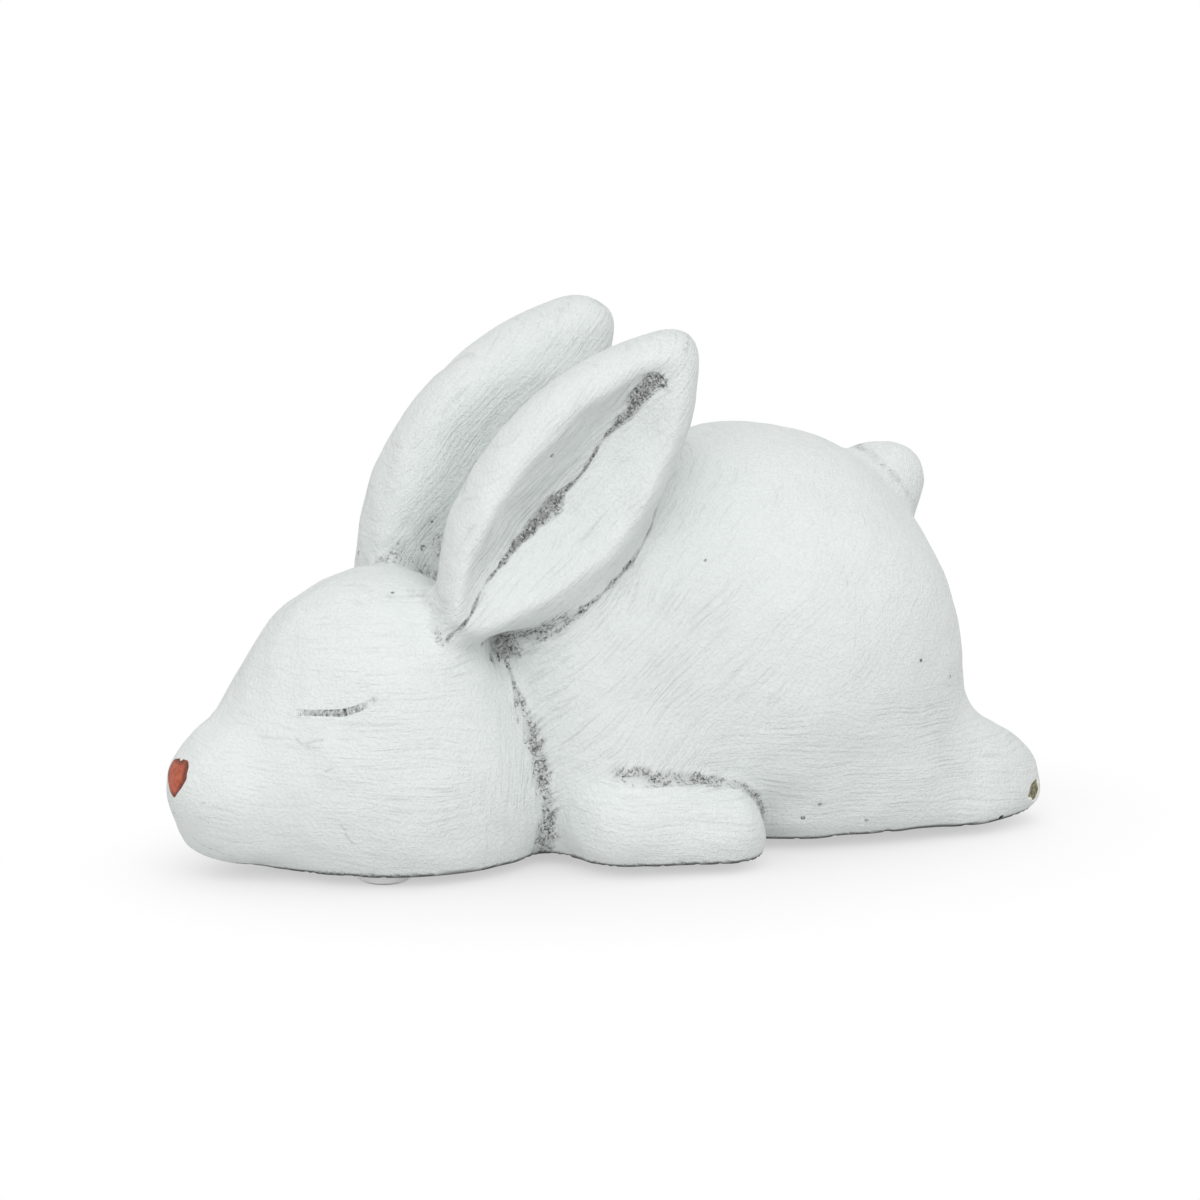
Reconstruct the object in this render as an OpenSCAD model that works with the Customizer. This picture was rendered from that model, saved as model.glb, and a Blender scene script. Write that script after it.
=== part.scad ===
// Sleeping rabbit figurine: one solid cement casting, poured open and painted white, a nose
// painted on, and four clear stick-on bumpers that hold the flat underside off the table.
// The rabbit lies along X and faces -X, its ears laid back. It is alike on both sides of the
// XZ plane, and the table is at z = 0. All sizes are in millimetres.

/* [Head] */
// Length of the skull
skull_length = 48; // [41:0.5:54]
// Width of the skull
skull_width = 48; // [42:0.5:54]
// Height of the skull's ball
skull_height = 48; // [42:0.5:54]
// Height of the skull's middle above the table
skull_rise = 26; // [23:0.5:30]
// How far the skull lies ahead of the cheeks
skull_lead = 4.5; // [2:0.5:8]
// Length of a cheek
cheek_length = 50; // [44:0.5:56]
// Width of a cheek
cheek_width = 38; // [32:0.5:44]
// Height of a cheek's ball
cheek_height = 36; // [30:0.5:44]
// Height of the cheeks' middle above the table
cheek_rise = 10; // [7:0.5:14]
// How far each cheek lies from the middle plane
cheek_spread = 7.5; // [5:0.5:11]
// Thickness of the muzzle where it leaves the skull
muzzle_root_d = 34; // [28:0.5:38]
// How far ahead of the skull's middle the muzzle starts
muzzle_root_lead = 6.5; // [4.5:0.5:8.5]
// How far below the skull's middle the muzzle starts
muzzle_root_drop = 8; // [6:0.5:10]
// Thickness of the muzzle at the nose
muzzle_tip_d = 23; // [18:0.2:25]
// Distance from the skull's middle to the middle of the muzzle's round tip
muzzle_reach = 26.8; // [22.8:0.5:30.8]
// Height of the middle of the muzzle's tip above the table
muzzle_rise = 14.3; // [11.8:0.5:16.8]

/* [Nose and eyes] */
// Width of the painted nose
nose_width = 7.6; // [5:0.2:10]
// Height of the painted nose, from its point to its lobes
nose_height = 6.4; // [5:0.2:8]
// Thickness of the nose paint
nose_paint_t = 0.4; // [0.3:0.05:0.8]
// Depth of the notch between the nose's two lobes
nose_notch = 0.5; // [0.3:0.1:1.5]
// Length of the closed eye's line, front to back
eye_length = 10; // [8:0.2:13]
// How far the eye's line sags below its ends
eye_sag = 1.2; // [0.4:0.1:1.6]
// How much the rear end of the eye's line is higher than its front end
eye_lift = 2.3; // [0:0.1:4]
// Width of the groove that draws the eye
eye_groove_d = 0.9; // [0.7:0.1:1.8]
// Height of the eye above the skull's middle
eye_rise = 4.4; // [2:0.2:7]
// How far the eye's front end lies ahead of the skull's middle
eye_lead = 19.7; // [16.7:0.2:20.9]

/* [Ears] */
// Width of an ear
ear_width = 30; // [25:0.5:36]
// Thickness of an ear
ear_thickness = 15.6; // [13:0.2:18]
// Distance from an ear's root to its tip
ear_length = 70; // [60:0.5:79]
// How steeply the ears rise towards the rear, in degrees
ear_slope = 47.6; // [42:0.2:53]
// How far the ears lean outwards, in degrees
ear_splay = 1.5; // [0:0.5:6]
// How far the hollow side of an ear turns to the front, in degrees
ear_turn = 9; // [0:0.5:16]
// How far an ear's root lies in from the skull's side
ear_inset = 7; // [5:0.5:9]
// How far an ear's root lies behind the skull's middle
ear_setback = 3; // [1:0.5:6]
// How far an ear's root lies below the crown
ear_sink = 11; // [8:0.5:13]
// How far an ear's round end reaches past its tip point
ear_end = 1.5; // [1:0.1:2.5]
// How much quicker an ear narrows to its root than to its tip
ear_taper = 1.1; // [1:0.01:1.3]
// Bluntness of an ear's two ends
ear_blunt = 4; // [2:0.5:6]
// Width of the rim round the ear's hollow
ear_rim = 5; // [3.5:0.1:7]
// How near the hollow comes to the end of the ear's root
ear_root_rim = 1.5; // [1:0.5:4]
// How far the hollow lies below the ear's middle line
ear_hollow_drop = 1; // [0:0.2:2]
// Depth of the ear's hollow along its middle
ear_hollow_depth = 8; // [5:0.2:9]

/* [Body] */
// Length of the trunk
trunk_length = 72; // [66:1:80]
// Width of the trunk
trunk_width = 66; // [58:1:74]
// Height of the trunk's ball
trunk_height = 77; // [70:1:84]
// Height of the trunk's middle above the table
trunk_rise = 31; // [28:0.5:34]
// Length of the rump
rump_length = 53; // [47:1:60]
// Width of the rump
rump_width = 56; // [48:1:62]
// Height of the rump's ball
rump_height = 57; // [52:1:66]
// How far the rump lies behind the trunk's middle
rump_setback = 10; // [6:0.5:13]
// Height of the rump's middle above the trunk's middle
rump_lift = 5.5; // [3:0.5:9]
// Length of the chest
chest_length = 44; // [38:1:50]
// Width of the chest
chest_width = 63; // [56:1:70]
// Height of the chest's ball
chest_height = 52; // [46:1:58]
// Height of the chest's middle above the table
chest_rise = 14; // [11:0.5:17]
// How far the chest lies ahead of the trunk's middle
chest_lead = 28; // [24:0.5:31]
// Length of the shoulders, behind the ears' roots
shoulder_length = 36; // [30:1:42]
// Width of the shoulders
shoulder_width = 46; // [38:1:52]
// Height of the shoulders' ball
shoulder_height = 44; // [38:1:50]
// Height of the shoulders' middle above the table
shoulder_rise = 34; // [31:0.5:37]
// How far the shoulders lie ahead of the trunk's middle
shoulder_lead = 32; // [28:0.5:35]
// How far the cheeks reach into the chest at the neck
neck_overlap = 14; // [11:0.5:18]
// Width of the tail
tail_width = 14; // [11:0.5:17]
// Length and height of the tail
tail_height = 13; // [10:0.5:16]
// How far the tail stands proud of the rump
tail_proud = 9.2; // [6.6:0.2:11.4]
// Angle at which the tail sits on the rump, in degrees above level
tail_angle = 44; // [30:1:60]

/* [Legs] */
// Length of a haunch
haunch_length = 50; // [44:1:56]
// Width of a haunch
haunch_width = 32; // [28:0.5:38]
// Height of a haunch's ball
haunch_height = 54; // [48:1:60]
// Height of a haunch's middle above the table
haunch_rise = 28; // [25:0.5:31]
// How far a haunch lies behind the trunk's middle
haunch_setback = 10; // [6:0.5:14]
// How far a haunch stands proud of the trunk's side
haunch_proud = 3; // [1:0.5:5]
// Length of a hind foot
foot_length = 46; // [40:1:52]
// Width of a hind foot
foot_width = 20; // [17:0.5:24]
// Height of a hind foot's ball
foot_height = 24; // [20:0.5:28]
// Height of a hind foot's middle above the table
foot_rise = 8; // [6:0.5:10]
// How far a hind foot reaches behind the trunk
foot_reach = 14; // [10:0.5:17]
// How far a hind foot stands proud of the trunk's side
foot_proud = 1; // [0:0.5:3]
// Thickness of a foreleg at the elbow
elbow_d = 19.6; // [17:0.2:22]
// Thickness of a forepaw
paw_d = 17; // [14:0.2:20]
// Distance from the elbow to the paw
foreleg_length = 16; // [13:0.5:21]
// How far a paw stands proud of the chest's side
paw_proud = 7.5; // [5:0.5:9]
// How far the elbow lies ahead of the chest's middle
elbow_lead = 3; // [1:0.5:6]
// How much nearer to the middle plane the elbow lies than the paw
elbow_tuck = 4; // [2:0.5:6]
// Height of the elbow's middle above the table
elbow_rise = 8.5; // [7:0.5:10]
// Height of the paw's middle above the table
paw_rise = 5.5; // [4:0.5:7]

/* [Bumpers] */
// Diameter of a bumper where it sticks to the casting
bumper_d = 10; // [8:0.5:12]
// Diameter of the flat that a bumper stands on
bumper_flat_d = 6.4; // [5:0.2:7.6]
// Height of a bumper without its adhesive
bumper_height = 1.85; // [1.2:0.05:3]
// Thickness of the adhesive film
adhesive_t = 0.15; // [0.1:0.05:0.4]
// How far the adhesive film stays in from the bumper's edge
adhesive_margin = 0.25; // [0.1:0.05:0.5]
// How far a front bumper lies in from the cheek's side
front_bumper_inset = 6; // [4:0.5:9]
// How far a front bumper lies ahead of the cheek's middle
front_bumper_lead = 10; // [4:0.5:12]
// How far a rear bumper lies in from the hind foot's side
rear_bumper_inset = 11.5; // [8:0.5:14]
// How far a rear bumper lies ahead of the hind foot's middle
rear_bumper_lead = 5; // [0:0.5:9]

/* [Blends] */
// Width of the soft blend between neighbouring swellings
soft_blend = 12; // [9:0.5:15]
// Width of the blend between a leg and the body
leg_blend = 10; // [7:0.5:12]
// Width of the blend in the crease at the neck and round the paws
crease_blend = 3; // [2:0.5:5]
// Width of the blend round the tail
tail_blend = 6; // [3:0.5:8]
// Width of the blend at the root of an ear
ear_blend = 5; // [3:0.5:6.5]
// Width of the blend that seats an ear on the back
ear_seat = 9; // [6:0.5:12]
// Rounding of an ear's edges
ear_round = 8; // [5:0.5:10]
// Rounding of the rim where it turns into the ear's hollow
rim_round = 1.4; // [1:0.2:3]
// Size of the cells that the smooth surface is drawn with
cell = 3.1; // [2.9:0.1:4]

/* [Hidden] */

// Faces on the round bumpers, and on the small balls that cut the eye's groove
round_faces = 48;
groove_faces = 10;
// Steps along the eye's line, across the nose and up the nose
eye_steps = 8;
nose_cols = 14;
nose_rows = 10;
// Steps at most to meet the head from outside, and rounds that join the edges of a cell into sheets
meeting_steps = 24;
joining_rounds = 11;

// The underside of the casting, and how far its rough shape hangs below before it is cut flat
casting_floor = bumper_height + adhesive_t;
skirt = 3;

// The paint's white, the nose's red, and the clear plastic of the bumpers
paint_white = [0.91, 0.925, 0.915];
nose_red = [0.72, 0.31, 0.2];
clear_plastic = [0.85, 0.9, 0.92, 0.45];
film_grey = [0.8, 0.82, 0.82, 0.6];

// Middles along X, first from the trunk's middle, then from the middle of the whole figure
chest_local = -chest_lead;
cheek_local = chest_local - chest_length / 2 + neck_overlap - cheek_length / 2;
skull_local = cheek_local - skull_lead;
muzzle_local = skull_local - muzzle_reach;
front_local = muzzle_local - muzzle_tip_d / 2;
rear_local = trunk_length / 2 + foot_reach;
trunk_x = -(front_local + rear_local) / 2;
chest_x = trunk_x + chest_local;
cheek_x = trunk_x + cheek_local;
skull_x = trunk_x + skull_local;
muzzle_x = trunk_x + muzzle_local;
rump_x = trunk_x + rump_setback;
haunch_x = trunk_x + haunch_setback;
foot_x = trunk_x + rear_local - foot_length / 2;
elbow_x = chest_x - elbow_lead;

// Middles and half sizes of the swellings, on the +Y side where there are two
skull_c = [skull_x, 0, skull_rise];
skull_r = [skull_length, skull_width, skull_height] / 2;
cheek_c = [cheek_x, cheek_spread, cheek_rise];
cheek_r = [cheek_length, cheek_width, cheek_height] / 2;
muzzle_root = skull_c - [muzzle_root_lead, 0, muzzle_root_drop];
muzzle_tip = [muzzle_x, 0, muzzle_rise];
trunk_c = [trunk_x, 0, trunk_rise];
trunk_r = [trunk_length, trunk_width, trunk_height] / 2;
rump_c = [rump_x, 0, trunk_rise + rump_lift];
rump_r = [rump_length, rump_width, rump_height] / 2;
chest_c = [chest_x, 0, chest_rise];
chest_r = [chest_length, chest_width, chest_height] / 2;
shoulder_c = [trunk_x - shoulder_lead, 0, shoulder_rise];
shoulder_r = [shoulder_length, shoulder_width, shoulder_height] / 2;
haunch_c = [haunch_x, trunk_width / 2 + haunch_proud - haunch_width / 2, haunch_rise];
haunch_r = [haunch_length, haunch_width, haunch_height] / 2;
foot_side = trunk_width / 2 + foot_proud;
foot_c = [foot_x, foot_side - foot_width / 2, foot_rise];
foot_r = [foot_length, foot_width, foot_height] / 2;
paw_side = chest_width / 2 + paw_proud;
paw_y = paw_side - paw_d / 2;
elbow = [elbow_x, paw_y - elbow_tuck, elbow_rise];
paw = [elbow_x + sqrt(foreleg_length * foreleg_length - elbow_tuck * elbow_tuck), paw_y, paw_rise];

// The tail sits where a line at its angle leaves the rump
tail_way = [cos(tail_angle), 0, sin(tail_angle)];
rump_reach = 1 / norm([tail_way.x / rump_r.x, tail_way.z / rump_r.z]);
tail_c = rump_c + tail_way * (rump_reach + tail_proud - tail_height / 2);
tail_r = [tail_height, tail_width, tail_height] / 2;

// The ear's root, and its own directions: along it, out of its hollow side, and across it
ear_root = skull_c + [ear_setback, skull_width / 2 - ear_inset, skull_height / 2 - ear_sink];
ear_along = [cos(ear_slope) * cos(ear_splay), sin(ear_splay), sin(ear_slope) * cos(ear_splay)];
ear_face = square_to([-sin(ear_turn), cos(ear_turn), 0], ear_along);
ear_across = cross(ear_along, ear_face);
ear_middle = ear_root + ear_along * ear_length / 2;
ear_tip = ear_root + ear_along * ear_length;
ear_half = ear_length / 2 + ear_end;
hollow_half = ear_half - ear_rim;
hollow_reach = ear_half - ear_root_rim;
hollow_width = ear_width / 2 - ear_rim + ear_hollow_drop;

// Directions and blends
function unit(v) = v / norm(v);
function square_to(v, way) = unit(v - way * (v * way));
function melt(a, b, k) = let(h = max(k - abs(a - b), 0) / k) min(a, b) - h * h * k / 4;
function pare(a, b, k) = -melt(-a, -b, k);

// Distance to a swelling of middle c and half sizes r, to a tapered limb, and to a leaf outline
function swelling(p, c, r) =
    let(d = p - c,
        a = [d.x / r.x, d.y / r.y, d.z / r.z],
        b = [a.x / r.x, a.y / r.y, a.z / r.z],
        k = norm(a))
    k * (k - 1) / max(norm(b), 1e-6);
function limb(p, a, b, ra, rb) =
    let(v = b - a, t = max(0, min(1, (p - a) * v / (v * v))))
    norm(p - a - v * t) - ra - (rb - ra) * t;
function leaf(s, w, half_l, half_w) =
    let(r = (half_l * half_l + half_w * half_w) / (2 * half_w),
        a = abs(w),
        b = a < ear_blunt ? (a * a + ear_blunt * ear_blunt) / (2 * ear_blunt) : a)
    norm([s, b + r - half_w]) - r;

// The head, body and ear, each as a distance that is negative inside
function head(p) =
    let(ball = swelling(p, skull_c, skull_r),
        cheek = swelling(p, cheek_c, cheek_r),
        muzzle = limb(p, muzzle_root, muzzle_tip, muzzle_root_d / 2, muzzle_tip_d / 2))
    melt(melt(ball, cheek, soft_blend), muzzle, soft_blend);
function body(p) =
    let(trunk = melt(swelling(p, trunk_c, trunk_r), swelling(p, rump_c, rump_r), soft_blend),
        fore = melt(swelling(p, chest_c, chest_r), swelling(p, shoulder_c, shoulder_r), soft_blend),
        front = melt(trunk, fore, soft_blend),
        rear = melt(front, swelling(p, haunch_c, haunch_r), leg_blend),
        feet = melt(rear, swelling(p, foot_c, foot_r), leg_blend),
        foreleg = limb(p, elbow, paw, elbow_d / 2, paw_d / 2))
    melt(feet, foreleg, crease_blend);
function ear(p) =
    let(d = p - ear_middle,
        along = d * ear_along,
        s = along < 0 ? along * ear_taper : along,
        n = d * ear_face,
        w = d * ear_across,
        blade = pare(leaf(s, w, ear_half, ear_width / 2), abs(n) - ear_thickness / 2, ear_round),
        t = s < 0 ? s * hollow_half / hollow_reach : s,
        inner = leaf(t, w + ear_hollow_drop, hollow_half, hollow_width),
        dip = max(0, min(1, -inner / (hollow_width - ear_blunt / 2))) * ear_hollow_depth,
        hollow = pare(inner, ear_thickness / 2 - dip - n, rim_round))
    pare(blade, -hollow, rim_round);
function figure(q) =
    let(p = [q.x, abs(q.y), q.z],
        b = body(p),
        e = ear(p),
        trunk = melt(head(p), b, crease_blend),
        tailed = melt(trunk, swelling(p, tail_c, tail_r), tail_blend),
        eared = min(melt(tailed, e, ear_blend), melt(b, e, ear_seat)))
    max(eared, casting_floor - skirt - p.z);

// A point pulled towards the figure's surface along the steepest way, by no more than most
function on_surface(p, most) =
    let(e = 0.05,
        v = figure(p),
        g = [figure(p + [e, 0, 0]) - v, figure(p + [0, e, 0]) - v, figure(p + [0, 0, e]) - v] / e,
        step = g * v / max(g * g, 1e-6))
    p - step * min(1, most / max(norm(step), 1e-6));
// A point moved along a direction until it meets the head, from outside
function meet_head(p, way, left = meeting_steps) =
    let(v = head([p.x, abs(p.y), p.z])) left == 0 || abs(v) < 0.01 ? p : meet_head(p + way * v, way, left - 1);

// The grid of cells round one half of the figure
reach = 2 * cell;
grid_x = trunk_x + front_local - reach;
grid_z = casting_floor - skirt - reach;
side = max(paw_side, foot_side, trunk_width / 2 + haunch_proud, chest_width / 2, skull_width / 2,
    cheek_spread + cheek_width / 2, ear_tip.y + ear_thickness / 2 + reach);
top = max(ear_tip.z + reach, trunk_rise + trunk_height / 2, rump_c.z + rump_r.z, tail_c.z + tail_r.z);
nx = ceil((trunk_x + rear_local + reach - grid_x) / cell);
ny = ceil((side + reach) / cell);
nz = ceil((top + reach - grid_z) / cell);
corners = [for (i = [0, 1], j = [0, 1], k = [0, 1]) [i, j, k]];
edges = [for (a = [0:7], b = [a + 1:1:7]) if (norm(corners[a] - corners[b]) == 1) [a, b]];
edge_number = [for (a = [0:7]) [for (b = [0:7]) [for (n = [0:11]) if (edges[n] == [a, b]) n][0]]];
sides = [for (d = [0:2], s = [0, 1])
    [for (n = [0:11]) if (corners[edges[n][0]][d] == s && corners[edges[n][1]][d] == s) n]];

function node_at(i, j, k) = [grid_x + i * cell, j * cell, grid_z + k * cell];
function field() = [for (i = [0:nx]) [for (j = [0:ny]) [for (k = [0:nz]) figure(node_at(i, j, k))]]];
function cell_values(f, i, j, k) = [for (c = corners) f[i + c.x][j + c.y][k + c.z]];
function crosses(a, b) = (a < 0) != (b < 0);
function inner_end(v, n) = v[edges[n][0]] < 0 ? edges[n][0] : edges[n][1];
// Pairs of a cell's crossed edges that one stretch of the surface joins, face by face
function joined(v) = [for (side = sides)
    let(hit = [for (n = side) if (crosses(v[edges[n][0]], v[edges[n][1]])) n])
    each [for (a = hit, b = hit) if (a < b && (len(hit) == 2 || inner_end(v, a) == inner_end(v, b))) [a, b]]];
// The lowest edge number that each edge is joined to
function settled(label, pairs, left = joining_rounds) = left == 0 ? label : settled([for (n = [0:11])
    min(concat([label[n]], [for (q = pairs) if (q[0] == n || q[1] == n) min(label[q[0]], label[q[1]])]))],
    pairs, left - 1);
// For each of a cell's edges, which of the separate sheets in the cell crosses it, or -1
function sheets(v) =
    let(hit = [for (n = [0:11]) crosses(v[edges[n][0]], v[edges[n][1]])],
        hits = len([for (h = hit) if (h) 1]),
        label = hits < 6 ? [for (n = [0:11]) 0] : settled([for (n = [0:11]) n], joined(v)),
        first = [for (n = [0:11]) if (hit[n] && (hits >= 6 ? label[n] == n : true)) n])
    [for (n = [0:11]) !hit[n] ? -1 : hits < 6 ? 0 : len([for (r = first) if (r < label[n]) 1])];
// The middle of the places where one sheet crosses a cell's edges
function sheet_point(v, sheet, m, i, j, k) =
    let(hits = [for (n = [0:11]) if (sheet[n] == m) let(e = edges[n], a = v[e[0]], b = v[e[1]])
            corners[e[0]] + (corners[e[1]] - corners[e[0]]) * a / (a - b)])
    node_at(i, j, k) + [for (h = hits) 1] * hits * cell / len(hits);
// How many points come before each cell's own
function running(count) = [for (n = 0, c = 0; n < len(count); c = c + count[n], n = n + 1) c];
// Two triangles for four corners, split along the shorter diagonal
function split(p, q) =
    norm(p[q[0]] - p[q[2]]) < norm(p[q[1]] - p[q[3]])
        ? [[q[0], q[1], q[2]], [q[0], q[2], q[3]]]
        : [[q[0], q[1], q[3]], [q[1], q[2], q[3]]];

// The figure's surface: one point in each cell that it passes through, and a face across each
// grid edge that it crosses, made on the +Y side and mirrored
module figure_solid() {
    f = field();
    cells = [for (i = [0:nx - 1], j = [0:ny - 1], k = [0:nz - 1]) [i, j, k]];
    values = [for (c = cells) let(v = cell_values(f, c.x, c.y, c.z)) min(v) < 0 && max(v) >= 0 ? v : []];
    sheet = [for (v = values) v == [] ? [] : sheets(v)];
    count = [for (s = sheet) s == [] ? 0 : max(s) + 1];
    number = running(count);
    half = [for (n = [0:len(cells) - 1], m = [0:1:count[n] - 1])
        let(c = cells[n]) on_surface(sheet_point(values[n], sheet[n], m, c.x, c.y, c.z), cell / 5)];
    total = len(half);
    points = concat(half, [for (p = half) [p.x, -p.y, p.z]]);
    function opposite(c) = corners[c].y == 0 ? c + 2 : c - 2;
    function point_of(n, a, b) = number[n] + sheet[n][edge_number[a][b]];
    // The point of cell i, j, k for its edge from corner a to corner b, also on the mirrored side
    function at(i, j, k, a, b) = j >= 0 ? point_of((i * ny + j) * nz + k, a, b)
        : total + point_of((i * ny - 1 - j) * nz + k, opposite(a), opposite(b));
    function turned(q, inside) = inside ? [q[3], q[2], q[1], q[0]] : q;
    function mirrored(q) = [for (n = [3:-1:0]) q[n] < total ? q[n] + total : q[n] - total];
    across_x = [for (i = [0:nx - 1], j = [0:ny - 1], k = [1:nz - 1]) if (crosses(f[i][j][k], f[i + 1][j][k]))
        [j, turned([at(i, j - 1, k - 1, 3, 7), at(i, j, k - 1, 1, 5), at(i, j, k, 0, 4),
            at(i, j - 1, k, 2, 6)], f[i][j][k] < 0)]];
    across_y = [for (i = [1:nx - 1], j = [0:ny - 1], k = [1:nz - 1]) if (crosses(f[i][j][k], f[i][j + 1][k]))
        [1, turned([at(i - 1, j, k - 1, 5, 7), at(i - 1, j, k, 4, 6), at(i, j, k, 0, 2),
            at(i, j, k - 1, 1, 3)], f[i][j][k] < 0)]];
    across_z = [for (i = [1:nx - 1], j = [0:ny - 1], k = [0:nz - 1]) if (crosses(f[i][j][k], f[i][j][k + 1]))
        [j, turned([at(i - 1, j - 1, k, 6, 7), at(i, j - 1, k, 2, 3), at(i, j, k, 0, 1),
            at(i - 1, j, k, 4, 5)], f[i][j][k] < 0)]];
    faces = [for (e = concat(across_x, across_y, across_z))
        each concat(split(points, e[1]), e[0] > 0 ? split(points, mirrored(e[1])) : [])];
    polyhedron(points, faces, convexity = 8);
}

// The painted nose's outline: at height v from its point, 0 to 1, its half width, 0 to 1
function nose_half(v) = v < 0.78 ? sin(90 * v / 0.78) : 0.62 + 0.38 * sqrt(max(0, 1 - pow((v - 0.78) / 0.22, 2)));
nose_z = muzzle_rise + 0.4;
function nose_spot(u, v) =
    let(y = u * nose_half(v) * nose_width / 2, z = nose_z + v * nose_height - pow(v, 5) * nose_notch * (1 - abs(u)))
    [y, z];
// A block between two depths below the muzzle's surface, over the nose's outline
module nose_block(outer, inner) {
    way = [1, 0, 0];
    spots = [for (r = [0:nose_rows], c = [0:nose_cols]) nose_spot(2 * c / nose_cols - 1, 0.04 + 0.96 * r / nose_rows)];
    skin = [for (s = spots) meet_head([muzzle_x - muzzle_tip_d / 2 - 1, s[0], s[1]], way)];
    points = concat([for (p = skin) p + way * inner], [for (p = skin) p + way * outer]);
    wide = nose_cols + 1;
    layer = len(skin);
    floor_faces = [for (r = [0:nose_rows - 1], c = [0:nose_cols - 1])
        let(a = r * wide + c) each [[a, a + wide + 1, a + 1], [a, a + wide, a + wide + 1]]];
    front_faces = [for (t = floor_faces) [t[2] + layer, t[1] + layer, t[0] + layer]];
    ring = concat([for (c = [0:nose_cols - 1]) c], [for (r = [0:nose_rows - 1]) r * wide + nose_cols],
        [for (c = [nose_cols:-1:1]) nose_rows * wide + c], [for (r = [nose_rows:-1:1]) r * wide]);
    wall_faces = [for (n = [0:len(ring) - 1])
        let(a = ring[n], b = ring[(n + 1) % len(ring)]) each [[a, b, b + layer], [a, b + layer, a + layer]]];
    polyhedron(points, concat(floor_faces, front_faces, wall_faces), convexity = 4);
}

// The groove of one closed eye, drawn along an arc on the head's side
module eye_groove(way) {
    eye_front = [skull_x - eye_lead, way * skull_width, skull_rise + eye_rise];
    spots = [for (n = [0:eye_steps]) let(t = n / eye_steps, sag = 4 * t * (1 - t) * eye_sag)
        meet_head(eye_front + [t * eye_length, 0, t * eye_lift - sag], [0, -way, 0])];
    for (n = [0:eye_steps - 1]) hull() {
        translate(spots[n]) sphere(d = eye_groove_d, $fn = groove_faces);
        translate(spots[n + 1]) sphere(d = eye_groove_d, $fn = groove_faces);
    }
}

module casting() {
    wide = 4 * side;
    long = 2 * (rear_local - front_local);
    color(paint_white) difference() {
        figure_solid();
        translate([-long / 2, -wide / 2, casting_floor - 2 * skirt - reach]) cube([long, wide, 2 * skirt + reach]);
        nose_block(-1, nose_paint_t);
        eye_groove(1);
        eye_groove(-1);
    }
}

module nose_paint() {
    color(nose_red) nose_block(0, nose_paint_t);
}

// Where a bumper lies, with end -1 for the front and 1 for the rear, and way -1 for the left
front_bumper = [cheek_x - front_bumper_lead, cheek_c.y + cheek_r.y - front_bumper_inset - bumper_d / 2];
rear_bumper = [foot_x - rear_bumper_lead, foot_side - rear_bumper_inset - bumper_d / 2];
function bumper_spot(end, way) = let(s = end < 0 ? front_bumper : rear_bumper) [s.x, way * s.y, 0];

// A clear bumper: a low dome turned over, with a flat to stand on
module bumper(end, way) {
    flat = bumper_flat_d / 2;
    curve = [for (t = [0:15:90]) [flat + (bumper_d / 2 - flat) * cos(t), bumper_height * (1 - sin(t))]];
    color(clear_plastic) translate(bumper_spot(end, way))
        rotate_extrude($fn = round_faces) polygon(concat([[0, bumper_height]], curve, [[0, 0]]));
}

// The adhesive film between a bumper and the casting
module adhesive(end, way) {
    color(film_grey) translate(bumper_spot(end, way) + [0, 0, bumper_height])
        cylinder(h = adhesive_t, d = bumper_d - 2 * adhesive_margin, $fn = round_faces);
}

casting();
nose_paint();
bumper(-1, -1);  // bumper_front_left
bumper(-1, 1);  // bumper_front_right
bumper(1, -1);  // bumper_rear_left
bumper(1, 1);  // bumper_rear_right
adhesive(-1, -1);  // adhesive_front_left
adhesive(-1, 1);  // adhesive_front_right
adhesive(1, -1);  // adhesive_rear_left
adhesive(1, 1);  // adhesive_rear_right
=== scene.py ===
# Sleeping rabbit figurine: a small cement casting brushed with matte white paint, with a painted
# nose, standing on clear bumpers. Shapes are worked out in millimetres and turned to metres last.
import math

import bmesh
import bpy
import numpy as np
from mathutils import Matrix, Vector


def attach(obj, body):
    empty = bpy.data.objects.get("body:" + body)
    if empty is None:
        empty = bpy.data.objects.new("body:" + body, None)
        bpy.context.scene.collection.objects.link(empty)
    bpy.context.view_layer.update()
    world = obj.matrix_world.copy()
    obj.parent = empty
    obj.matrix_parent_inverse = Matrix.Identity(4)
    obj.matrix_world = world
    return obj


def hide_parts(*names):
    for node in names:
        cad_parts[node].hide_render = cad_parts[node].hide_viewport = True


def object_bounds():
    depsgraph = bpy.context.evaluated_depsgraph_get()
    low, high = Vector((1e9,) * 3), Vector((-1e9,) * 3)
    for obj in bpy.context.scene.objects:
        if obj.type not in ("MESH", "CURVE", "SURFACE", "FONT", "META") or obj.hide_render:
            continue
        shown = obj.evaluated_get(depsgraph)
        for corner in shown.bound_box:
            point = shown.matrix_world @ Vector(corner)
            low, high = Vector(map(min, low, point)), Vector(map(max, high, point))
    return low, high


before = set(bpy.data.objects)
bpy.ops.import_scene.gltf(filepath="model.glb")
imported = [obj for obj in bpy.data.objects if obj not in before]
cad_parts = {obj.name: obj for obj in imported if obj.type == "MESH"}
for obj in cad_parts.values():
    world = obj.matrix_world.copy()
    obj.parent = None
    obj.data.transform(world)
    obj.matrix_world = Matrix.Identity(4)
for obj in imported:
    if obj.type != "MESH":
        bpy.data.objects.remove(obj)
cad_low, cad_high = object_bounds()

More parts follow.
